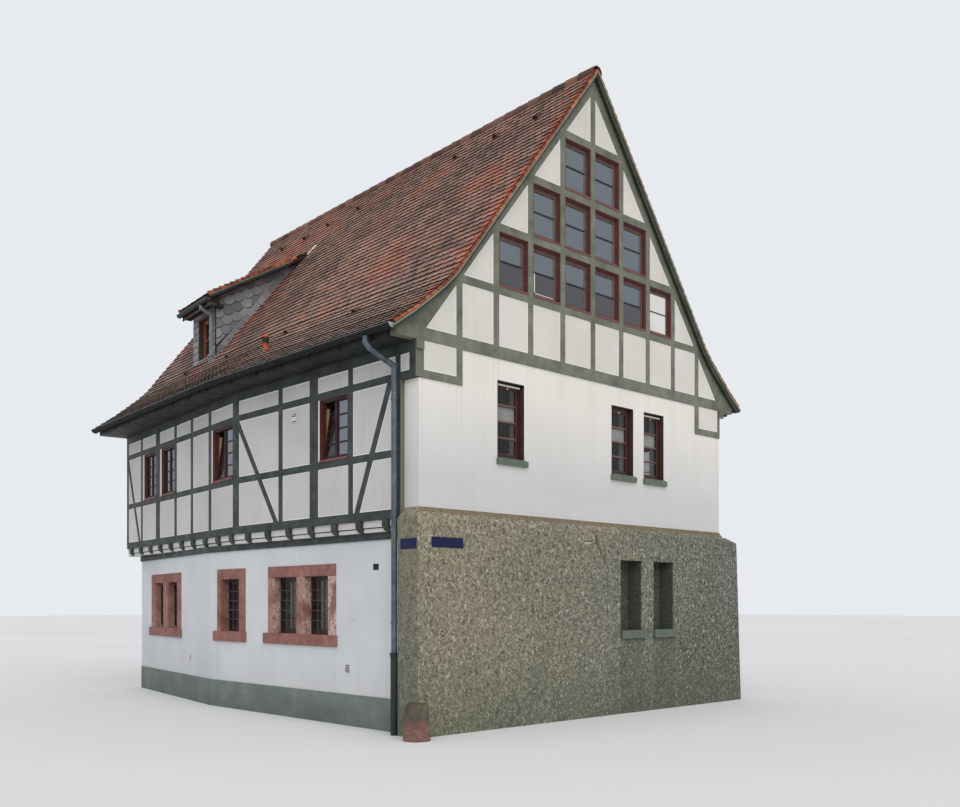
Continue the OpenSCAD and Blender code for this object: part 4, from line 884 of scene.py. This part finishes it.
def dormer_trim(trim):
    """Apron, sill, casing and corners of the dormer's front, boards of its eaves, edges of its roof."""
    sill, head = WINDOW[2:]
    trim.prism([(-DORMER_W - 0.05, 7.46), (0.05, 7.44), (0.03, 7.56), (-DORMER_W - 0.03, 7.58)], 0.0, 0.022,
               DORMER_FRONT)
    for lo, hi, mat in (
            # Sill, casing of the window and corner strips
            ((-0.97, -0.05, 7.565), (-0.31, 0.02, 7.592), 0),
            ((-0.955, -0.02, 7.59), (-0.925, 0.078, head), 1),
            ((-0.355, -0.02, 7.59), (-0.325, 0.078, head), 1),
            ((-0.925, -0.02, 8.515), (-0.355, 0.078, head), 1),
            ((-0.016, -0.018, 7.47), (0.018, 0.012, FRONT_HEAD), 2),
            ((-DORMER_W - 0.018, -0.018, sill), (-DORMER_W + 0.016, 0.012, FRONT_HEAD), 2),
            # Boxed end of the eaves at the near corner, a dark block beside it, the board along the eaves
            ((0.012, -0.205, 8.63), (0.200, -0.05, 8.72), 5),
            ((0.012, -0.05, 8.60), (0.17, 0.11, 8.67), 2),
            ((-DORMER_W - 0.21, -0.207, DORMER_Z - 0.135), (0.21, -0.187, DORMER_Z - 0.094), 5)):
        trim.box(lo, hi, DORMER, mat)
    for x0 in (SLAB_ENDS[1] - 0.004, SLAB_ENDS[0] - 0.014):
        x1 = x0 + 0.018
        trim.box((x0, 0.0, -0.012), (x1, 2.22, 0.042), SLAB, 2)
        trim.box((x0 - 0.004, 0.0, 0.042), (x1 + 0.004, 2.30, 0.072), SLAB, 4)
    # Lead patch where the edge runs into the main roof
    patch = DORMER @ Matrix.Translation((0.33, 2.20, main_roof(0.33, 2.20) + 0.055))
    patch = patch @ Matrix.Rotation(0.9, 4, "X")
    trim.box((-0.07, -0.02, 0.0), (0.04, 0.16, 0.012), patch, 3)
    trim.box((-0.11, -0.17, 0.0), (0.0, 0.0, 0.010), patch, 3)
    trim.make("dormer_trim", ("lead", "casing_brown", "trim_dark", "blind", "trim_green", "block_brown"),
              "trim")


def dormer_tiles():
    b = Build()
    left, right = SLAB_ENDS
    side, up, over = (Vector(c) for c in SLAB.to_3x3().col)
    rows, cols, show = 20, 10, 0.15
    w = (right - left) / cols
    for r in range(rows):
        for c, place, part, edge in course(r % 2, cols):
            p = SLAB @ Vector((left + place * w, r * show - 0.01, 0.085))
            q = TO_DORMER @ p
            if q.z + 0.03 < main_roof(q.x, q.y):
                continue
            lift, twist = 0.016 + rng.uniform(-0.003, 0.004), rng.uniform(-0.012, 0.012)
            tile(b, p, side, -up, over, (w - TILE_GAP) * part, min(TILE_L, 0.13 + r * show), lift, twist,
                 int(edge or rng.random() < 0.45))
    # Wedges that close the ends of the courses
    for x in (right - 0.02, left - 0.008):
        for r in range(rows - 4):
            y = r * show - 0.012
            wedge = [(y, 0.075), (y + 0.19, 0.075), (y + 0.19, 0.11), (y, 0.148)]
            b.prism(wedge, x, x + 0.03, SLAB @ UPRIGHT, 2)
    b.make("dormer_tiles", ("tiles", "tiles_orange", "tile_edge"), "tiles")


dormer_things = Build()
dormer_slates(dormer_things)
dormer_trim(dormer_things)
dormer_tiles()


# Small things on the roof and at the eaves
def roof_vents():
    """Small hooded vent tiles in the street slope, and the dark band of the pipe."""
    b = Build()
    spots = ((-6.716, 3.906), (-7.976, 3.967), (-8.93, 3.952), (-10.17, 4.026), (-2.279, 0.526),
             (-4.732, 0.7), (-7.255, 0.848), (-9.339, 0.976), (-0.825, 3.618), (-2.027, 3.683),
             (-3.236, 3.714))
    grid = [(u / 160, v / 60) for u in range(1, 160) for v in range(1, 60)]
    cloud = np.array([street_slope.point(u, v)[:2] for u, v in grid])
    hood = [(-0.075, 0.03), (-0.06, 0.07), (-0.03, 0.092), (0.03, 0.092), (0.06, 0.07), (0.075, 0.03)]
    n = len(hood)
    for spot in spots:
        nearest = np.argmin(((cloud + MID - spot) ** 2).sum(axis=1))
        p, along, down, out = street_slope.frame(*grid[nearest])
        m = axes(along, down, out, p)
        rings = [m @ Vector((x * wide, y, 0.025 + (z - 0.02) * rise)) for wide, y, rise in
                 ((1.0, -0.12, 0.25), (1.0, 0.03, 1.0), (0.82, 0.03, 0.78)) for x, z in hood]
        b.add(rings, [[i, i + 1, n + i + 1, n + i] for k in (0, n) for i in range(k, k + n - 1)])
        b.box((-0.06, -0.05, 0.02), (0.06, 0.02, 0.068), m, 1)
    lo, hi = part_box("vent_pipe")
    x, y = (lo.x + hi.x) / 2, (lo.y + hi.y) / 2
    b.tube(Vector((x, y, hi.z - 0.15)), Vector((x, y, hi.z - 0.07)), (hi.x - lo.x) * 0.47, 16, 1)
    b.make("vent_tiles", ("ridge", "trim_dark"), "tiles")


def gutter_dress():
    """Rolled lips, joints and end caps of the gutters."""
    b = Build()
    low = 6.255
    start, bend, end = (on_plan(p, low) for p in (E0 + (-0.02, -0.02), E1 + (0, -0.02), E2 - 0.02 * D3))
    back = on_plan(B0 + (-0.02, 0.02), low), on_plan(B2 + 0.02 * D3, low)
    half = [on_circle(0.0745, t) for t in range(180, 361, 15)]
    half += [on_circle(0.0775, t) for t in range(360, 179, -15)]
    for a, c, way in ((start, bend, 1), (bend, end, 1), (*back, -1)):
        d = (c - a).normalized()
        out = d.cross(UP)
        if out.y * way > 0:
            out = -out
        b.tube(a + out * 0.073, c + out * 0.073, 0.0065, 8)
        n = round((c - a).length / 1.1)
        for i in range(1, n):
            m = a.lerp(c, i / n)
            b.sweep(half, [(m - d * 0.007, out, UP), (m + d * 0.007, out, UP)], 2)
    disc = [on_circle(0.0755, t) for t in range(180, 361, 12)]
    b.sweep(disc, [(start + Vector((x, 0, 0)), Vector((0, -1, 0)), UP) for x in (-0.002, 0.004)], 1)
    # Rim of the dormer gutter
    b.tube(*[DORMER @ Vector((x, -DORMER_OUT - 0.113, DORMER_Z - 0.004)) for x in SLAB_ENDS], 0.005, 8)
    b.make("gutter_rims", ("gutter_lip", "zinc_pale", "gutter_joint"), "zinc", smooth=True)


roof_vents()
gutter_dress()


# Windows
# Along the house: the gable's windows lie beyond the first place, the far ground openings before the second
GABLE_SIDE, LAST_OPENINGS = 4.0, -2.0
# A window frame is thicker than twice this
THIN = 0.025
# Lean of the open casements
TILT = math.radians(-8)


def bars(b, at, x, y, rows, cols=1, width=0.022, d0=-0.006, d1=0.016, mat=0):
    """Bars that part a pane of half width x and half height y."""
    for i in range(1, rows):
        v = 2 * y * i / rows - y
        b.box((-x, v - width / 2, d0), (x, v + width / 2, d1), at, mat)
    for i in range(1, cols):
        u = 2 * x * i / cols - x
        b.box((u - width / 2, -y, d0), (u + width / 2, y, d1), at, mat)


def attic_windows(extras):
    """Frames and panes of the windows high in the gable, and the frame and pane of the dormer's window."""
    frames, panes = Build(), Build()
    for at, x, y, z in sheets("attic_glass"):
        if at.translation.x < GABLE_SIDE:
            extras.ring(x + 0.005, y + 0.005, 0.02, -0.012, 0.02, at)
            bars(extras, at, x - 0.015, y - 0.015, 2)
            panes.box((-x, -y, -0.004), (x, y, 0.004), at)
    found = sheets("attic_windows")
    bottom = min(f[0].translation.z for f in found)
    row = []
    for at, x, y, z in found:
        for inset, t, d0, d1, mat in ((0, 0.036, -z, z, 1),
                                      (0.035, 0.012, -z, z - 0.012, 2),
                                      (0.046, 0.030, 0.006 - z, z - 0.018, 4),
                                      (0.075, 0.008, 0.006 - z, z - 0.024, 2)):
            frames.ring(x - inset, y - inset, t, d0, d1, at, mat)
        # Wider stile and head on the sides that the reveal leaves in view, a dark line of painted shade under
        # the head, the transom and a pale bead
        for lo, hi, mat in (((x - 0.112, 0.07 - y, 0.004 - z), (x - 0.083, y - 0.07, z - 0.021), 4),
                            ((0.07 - x, y - 0.108, 0.004 - z), (x - 0.07, y - 0.083, z - 0.021), 4),
                            ((0.07 - x, y - 0.112, 0.004 - z), (x - 0.07, y - 0.106, z - 0.023), 2),
                            ((0.07 - x, -0.013, 0.01 - z), (x - 0.07, 0.013, z - 0.02), 2),
                            ((x - 0.118, 0.08 - y, -0.012), (x - 0.113, y - 0.08, z - 0.025), 3)):
            frames.box(lo, hi, at, mat)
        lowest = at.translation.z < bottom + 0.1
        panes.box((0.076 - x, 0.076 - y, -0.012), (x - 0.076, -0.005, -0.006), at, int(lowest))
        panes.box((0.076 - x, -0.005, -0.012), (x - 0.076, y - 0.076, -0.006), at)
        if lowest:
            row.append((at, x, y))
    row.sort(key=lambda window: window[0].translation.y)
    # A pale blind behind the farthest window of the lowest row, a white inner frame in the second
    at, x, y = row[-1]
    extras.box((0.07 - x, 0.07 - y, 0.0035), (x - 0.07, y - 0.07, 0.0055), at, 2)
    at, x, y = row[1]
    extras.box((0.08 - x, 0.07 - y, -0.004), (0.11 - x, -0.02, 0.004), at, 1)
    extras.box((0.08 - x, 0.07 - y, -0.004), (x - 0.12, 0.098 - y, 0.004), at, 1)
    frames.make("attic_joinery", ("frame_red", "lining_red", "bar_dark", "bead_grey", "stile_brown"),
                "frame_red", bevel=0.002, replaces=("attic_windows",))
    panes.make("attic_panes", ("attic_glass", "attic_low"), "glass", replaces=("attic_glass",))


def street_windows(extras):
    """Casements: the farther sash of the two nearest the corner is tilted in at its top."""
    frames, panes = Build(), Build()
    found = sorted((f for f in sheets("street_windows") if f[3] > THIN), key=lambda f: -f[0].translation.x)
    for i, (at, x, y, z) in enumerate(found):
        frames.ring(x, y, 0.04, -z, z, at, 1)
        frames.box((-0.028, 0.04 - y, -z), (0.028, y - 0.04, z - 0.006), at, 2)
        # Head of the frame, painted dark as the shade of the beam
        frames.box((0.012 - x, y - 0.062, -z), (x - 0.012, y - 0.012, z + 0.022), at, 2)
        wide, tall = x / 2 - 0.031, y - 0.035
        for side in (-1, 1):
            tilted = side < 0 and i < 2
            leaf = at @ Matrix.Translation((side * (0.02 + wide), -tall, -0.004))
            leaf = leaf @ Matrix.Rotation(TILT * tilted, 4, "X") @ Matrix.Translation((0, tall, 0))
            frames.ring(wide, tall, 0.038, -0.018, 0.018, leaf, 2)
            frames.box((-wide, -tall, 0.014), (wide, 0.05 - tall, 0.03), leaf, 2)
            bars(frames, leaf, wide - 0.035, tall - 0.035, 4, width=0.03, d0=-0.012, d1=0.012, mat=2)
            panes.box((0.034 - wide, 0.034 - tall, -0.004), (wide - 0.034, tall - 0.034, 0.004), leaf,
                      int(not tilted))
        if i < 2:
            # The cream inner reveal seen past the open sash
            extras.box((0.030 - x, 0.03 - y, -0.42), (0.042 - x, y - 0.13, -z - 0.001), at, 3)
            extras.box((0.038 - x, 0.04 - y, -z - 0.02), (0.048 - x, y - 0.07, 0.002 - z), at)
    frames.make("street_joinery", ("frame_red", "lining_red", "sash_dark"), "frame_red", bevel=0.002,
                replaces=("street_windows",))
    panes.make("street_panes", ("window_glass", "sky_glass"), "glass", replaces=("street_glass",))


def sash_bars(extras):
    """Sashes of the gable windows and of the hidden sides."""
    b = Build()
    for i, (at, x, y, z) in enumerate(sorted(sheets("gable_glass"), key=lambda f: f[0].translation.y)):
        b.ring(x + 0.005, y + 0.005, 0.034, -0.02, 0.022, at, 1)
        # The pale rose of the bars is painted light on their tops; under each shows a narrow strip of the
        # frame's own dark red
        bars(b, at, x - 0.025, y - 0.025, 4, width=0.026, mat=2)
        bars(b, at @ Matrix.Translation((0, -0.017, 0)), x - 0.025, y - 0.025, 4, width=0.010, d1=0.012)
        b.box((-x - 0.002, -y - 0.002, 0.02), (x + 0.002, 0.035 - y, 0.036), at)
        # Roller strip over two of the windows, a knob over each
        if i != 1:
            extras.box((-x - 0.03, y + 0.008, 0.05), (x + 0.03, y + 0.036, 0.062), at, 1)
        extras.tube(at @ Vector((0.0, y - 0.02, 0.02)), at @ Vector((0.0, y - 0.02, 0.042)), 0.013, 12, 1)
    for at, x, y, z in sheets("hidden_glass"):
        b.ring(x + 0.002, y + 0.002, 0.02, -0.012, 0.016, at)
        if y > 0.375:
            bars(b, at, x - 0.015, y - 0.015, 4, width=0.018)
    b.make("sash_bars", ("frame_red", "sash_red", "bar_rose"), "frame_red", bevel=0.002)


def ground_bars():
    """Frames of the ground windows and the iron bars before them."""
    b = Build()
    for at, x, y, z in sheets("ground_glass"):
        b.ring(x + 0.002, y + 0.002, 0.03, -0.014, 0.02, at)
        bars(b, at, x - 0.02, y - 0.02, 1, 2, 0.02)
        if at.translation.x < LAST_OPENINGS:
            # Dark lining on the far side
            b.box((-x - 0.004, -y, 0.018), (0.012 - x, y, 0.072), at)
        # Iron bars before the window
        bars(b, at, x + 0.05, y, 5, 1, 0.014, 0.05, 0.062, 1)
        bars(b, at, x, y + 0.04, 1, 3, 0.012, 0.062, 0.072, 1)
    b.make("ground_bars", ("bar_dark", "iron_bar"), "frame_red")


def linings():
    """Painted linings and sill strips of the openings in the timber."""
    b = Build()
    for node, deep in (("attic_windows", 0.036), ("street_windows", 0.046)):
        for at, x, y, z in sheets(node):
            if z < THIN:
                continue
            for inset, t, out in ((-0.0005, 0.014, deep - 0.004), (0.014, 0.012, 0.014),
                                  (0.032, 0.010, 0.008)):
                b.ring(x - inset, y - inset, t, z - 0.004, z + out, at)
            front = z + deep + 0.016
            sill = (z - 0.004, 0.052 - y), (front, 0.026 - y), (front, -y - 0.004), (z - 0.004, -y - 0.001)
            b.loft([[at @ Vector((end, up, out)) for out, up in sill] for end in (-x, x)], 1)
    for at, x, y, z in sheets("gable_windows"):
        b.ring(x + 0.0005, y + 0.0005, 0.012, z - 0.004, z + 0.09, at, 2)
    b.make("window_linings", ("lining_red", "sill_red", "casing_brown"), "frame_red", bevel=0.002)


def curtains():
    """Short lace curtains behind the second row of panes, each on a rod."""
    rods = Build()
    nx, ny, depth, scallop, fullness = 96, 14, -0.027, 0.022, 1.04
    for i, (at, x, y, z) in enumerate(sheets("gable_glass")):
        wide, drop, top = 2 * x - 0.04, y / 2 - 0.06, y / 2 - 0.03
        verts = []
        for row in range(ny + 1):
            for col in range(nx + 1):
                length = drop + scallop * abs(math.sin(math.pi * 6 * col / nx))
                wave = 0.0028 * math.sin(2 * math.pi * 11 * col / nx) * (0.4 + 0.6 * row / ny)
                verts.append(at @ Vector((wide * (col / nx - 0.5), top - length * row / ny, depth + wave)))
        faces = [[k, k + 1, k + nx + 2, k + nx + 1] for row in range(ny)
                 for k in range(row * (nx + 1), row * (nx + 1) + nx)]
        me = bpy.data.meshes.new("lace_curtain_%d" % (i + 1))
        me.from_pydata(verts, [], faces)
        me.polygons.foreach_set("use_smooth", [True] * len(faces))
        flat = wide * fullness, drop + scallop
        piece(me, "plaster", "lace")
        min(sum(p.area for p in me.polygons), flat[0] * flat[1])
        rods.tube(*[at @ Vector((end, top + 0.004, depth)) for end in (-x, x)], 0.004, 10)
    rods.make("curtain_rods", ("zinc",), "zinc", smooth=True)


window_extras = Build()
attic_windows(window_extras)
street_windows(window_extras)
sash_bars(window_extras)
ground_bars()
window_extras.make("window_extras", ("frame_brown", "strip_white", "blind", "curtain"), "plaster")
linings()
curtains()


# Plaster and small things on the walls
def on_wall(x, y, z, along=(1, 0, 0)):
    """Frame at a point of the site on a wall: X along it, Y up it, Z out of it."""
    along = Vector(along)
    return axes(along, UP, along.cross(UP), on_plan((x, y), z))


def jetty_plaster():
    """Plastered pieces between the joist ends: a flat panel, a dark line of painted shade and a narrow strip
    under it.
    """
    b = Build()
    lo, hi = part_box("jetty_infill")
    end = (FAR - (-FRONT, -0.085)) @ D2
    gap = 0.071
    for stops, at, way in (
            ([hi.x + MID[0], *JOISTS[0], -FRONT], on_wall(0, -0.085, 0), 1),
            ([0.0, *JOISTS[1], end], on_wall(-FRONT, -0.085, 0, (-D2[0], -D2[1], 0)), -1)):
        for i, (p, q) in enumerate(zip(stops, stops[1:])):
            a = p if i == 0 else p - gap * way
            c = q if i == len(stops) - 2 else q + gap * way
            x0, x1 = sorted((a * way, c * way))
            if x1 - x0 < 0.03:
                continue
            for z0, z1, front, mat in ((lo.z + 0.078, hi.z, -0.030, 0),
                                       (lo.z + 0.058, lo.z + 0.078, -0.056, 1),
                                       (lo.z, lo.z + 0.058, -0.044, 0)):
                b.box((x0, z0, -0.150), (x1, z1, front), at, mat)
    b.make("jetty_plaster", ("panel_grey", "line_grey"), "infill", replaces=("jetty_infill",))


def panel_borders():
    """The bright edge left round each plastered panel beside the timber."""
    for side, out in (("street", (0, -1, 0)), ("gable", (1, 0, 0)), ("back", (0, 1, 0)),
                      ("rear", (-1, 0, 0))):
        bm = bmesh.new()
        bm.from_mesh(NODES[side + "_panels"].data)
        bmesh.ops.remove_doubles(bm, verts=bm.verts, dist=1e-5)
        bmesh.ops.dissolve_limit(bm, angle_limit=0.01, verts=bm.verts, edges=bm.edges)
        rest = [f for f in bm.faces
                if f.normal.dot(out) <= 0.9 or abs(f.normal.z) > 0.1 or f.calc_area() < 0.012]
        bmesh.ops.delete(bm, geom=rest, context="FACES")
        faces = list(bm.faces)
        bmesh.ops.inset_individual(bm, faces=faces, thickness=0.016, use_even_offset=True)
        bmesh.ops.delete(bm, geom=faces, context="FACES")
        for v in bm.verts:
            v.co += (v.link_faces[0].normal if v.link_faces else UP) * 0.0022
        me = bpy.data.meshes.new(side + "_borders")
        bm.to_mesh(me)
        bm.free()
        thick = piece(me, "infill", "border_white").modifiers.new("thick", "SOLIDIFY")
        thick.thickness, thick.offset = 0.0024, -1


def plinth_wear(b):
    """A crack and a broken flake in the roughcast."""
    face = on_wall(0.15, 0, 0, (0, 1, 0))
    line = [(4.05, 3.30), (4.075, 3.21), (4.10, 3.13), (4.16, 3.05), (4.19, 2.97), (4.27, 2.90), (4.31, 2.81),
            (4.36, 2.78)]
    for (y0, z0), (y1, z1) in zip(line, line[1:]):
        b.prism([(y0, z0), (y1, z1), (y1 + 0.02, z1 + 0.004), (y0 + 0.02, z0 + 0.004)], -0.002, 0.004,
                face, 2)
    b.prism([(3.74, 3.13), (3.86, 3.125), (3.93, 3.14), (3.925, 3.165), (3.84, 3.17), (3.76, 3.155)], -0.002,
            0.005, face, 4)
    b.prism([(3.80, 3.168), (3.92, 3.163), (3.93, 3.185), (3.87, 3.195)], -0.002, 0.004, face, 5)


def wall_things():
    """Slot vent in a panel, slots of the low covers, a round cap, wear of the plinth."""
    b = Build()
    street, cover = on_wall(-3.34, -0.073, 5.36), on_wall(-1.935, 0.052, 0.9575)
    vent = on_wall(-1.1595, 0.067, 2.6555)
    bend = math.radians(10)
    low = on_wall(-6.64 - 1.237 * math.cos(bend), 0.06 + 1.237 * math.sin(bend), 0.91,
                  (math.cos(bend), -math.sin(bend), 0))
    b.box((-0.085, -0.09, 0.0), (0.085, 0.09, 0.014), street)
    b.box((-0.055, -0.08, 0.0), (0.055, 0.08, 0.012), low)
    five = range(-2, 3)
    for at, places, x, y, z0, z1 in ((street, (-0.066, 0.03, 0.062), 0.07, 0.008, 0.013, 0.0152),
                                     (cover, [0.026 * i for i in five], 0.05, 0.006, -0.001, 0.002),
                                     (low, [0.028 * i for i in five], 0.042, 0.006, 0.011, 0.0135)):
        for v in places:
            b.box((-x, v - y, z0), (x, v + y, z1), at, 1)
    b.ring(0.075, 0.0515, 0.012, -0.002, 0.006, vent, 3)
    b.box((-0.005, -0.045, -0.002), (0.005, 0.045, 0.005), vent, 3)
    cap, n = on_wall(-1.756, 0.06, 1.79), 24
    rim = (0.030, 0.0), (0.034, 0.004), (0.026, 0.005)
    b.add([cap @ Vector((*on_circle(r, 360 * i / n), z)) for i in range(n) for r, z in rim],
          [[i * 3 + j, (i + 1) % n * 3 + j, (i + 1) % n * 3 + (j + 1) % 3, i * 3 + (j + 1) % 3]
           for i in range(n) for j in range(3)])
    plinth_wear(b)
    b.make("wall_things", ("strip_white", "trim_dark", "crack", "iron", "flake", "lining_red"), "iron")


def guard_post():
    """The guard stone: a worn square post on a rounded boulder."""
    lo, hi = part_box("guard_stone")
    cx, cy, r = (lo.x + hi.x) / 2, (lo.y + hi.y) / 2, (hi.x - lo.x) / 2
    b = Build()
    for top, boulder in ((hi.z, False), (0.3, True)):
        rings = []
        for k in range(15):
            t, ring = k / 14, []
            for i in range(32):
                a = 2 * math.pi * i / 32
                wob = 0.018 * math.sin(3 * a + 5 * t) + 0.012 * math.sin(7 * a - 9 * t)
                wob += 0.008 * math.sin(13 * a + 4)
                if boulder:
                    rad = min(r * 0.96 * math.sqrt(max(1 - t ** 3.2, 0.0)) + wob * (1 - t) * 0.4, r * 0.985)
                else:
                    flat = 0.93 - 0.085 * math.cos(4 * a + 0.4)
                    rad = (r * 0.98 - 0.03 * t) * flat * (1 - 0.10 * max(t - 0.88, 0) / 0.12) + wob * 0.5
                up = top * t + (wob * 0.4 if t > 0.9 and not boulder else 0)
                ring.append(Vector((cx + math.cos(a) * rad, cy + math.sin(a) * rad, up)))
            rings.append(ring)
        b.loft(rings)
    b.make("guard_post", ("guard",), "stone", smooth=True, replaces=("guard_stone",))


jetty_plaster()
panel_borders()
wall_things()
guard_post()


# Stage, light, camera
def stage():
    me = bpy.data.meshes.new("ground")
    r = 160
    me.from_pydata([(-r, -r, 0), (r, -r, 0), (r, r, 0), (-r, r, 0)], [], [[0, 1, 2, 3]])
    s = Shade("ground", 0.95, spec=0.1)
    s.done(s.ramp(s.noise(0.05, 3), (0.3, "dededc"), (0.7, "e4e4e2")))
    me.materials.append(MAT["ground"])
    ground = bpy.data.objects.new("ground", me)
    bpy.context.collection.objects.link(ground)
    world = bpy.context.scene.world = bpy.data.worlds.new("studio")
    world.use_nodes = True
    t = world.node_tree
    t.nodes.clear()
    rays = put(t, "ShaderNodeLightPath").outputs
    seen = reckon("MAXIMUM", Wire(rays["Is Camera Ray"]), Wire(rays["Is Glossy Ray"]))
    seen = reckon("MAXIMUM", seen, Wire(rays["Is Transmission Ray"]))
    # The light of the sky, and the pale background that the camera sees
    light = put(t, "ShaderNodeBackground", {0: (0.90, 0.94, 1.0, 1), 1: 0.72}).outputs[0]
    back = put(t, "ShaderNodeBackground", {0: (0.80, 0.83, 0.86, 1), 1: 1.0}).outputs[0]
    mix = put(t, "ShaderNodeMixShader", {0: seen, 1: Wire(light), 2: Wire(back)}).outputs[0]
    put(t, "ShaderNodeOutputWorld", {0: Wire(mix)})
    sun = bpy.data.lights.new("soft_key", "SUN")
    sun.energy, sun.angle = 1.35, math.radians(60)
    sun.color = (1.0, 0.97, 0.93)
    so = bpy.data.objects.new("soft_key", sun)
    so.rotation_euler = Vector((-0.80, 0.50, -0.85)).to_track_quat("-Z", "Y").to_euler()
    bpy.context.collection.objects.link(so)


def camera():
    """Level, at the photo's place, with the horizon low in the picture."""
    data = bpy.data.cameras.new("camera")
    data.sensor_width, data.lens = 36, 37.2
    data.shift_y = 200.5 / 960
    data.clip_end = 500
    cam = bpy.data.objects.new("camera", data)
    cam.location = on_plan((11.716, -9.884), 2.05)
    cam.rotation_euler = Vector((-0.7233, 0.6905, 0)).to_track_quat("-Z", "Y").to_euler()
    bpy.context.collection.objects.link(cam)
    bpy.context.scene.camera = cam
    bpy.context.scene.view_settings.view_transform = "Standard"


stage()
camera()
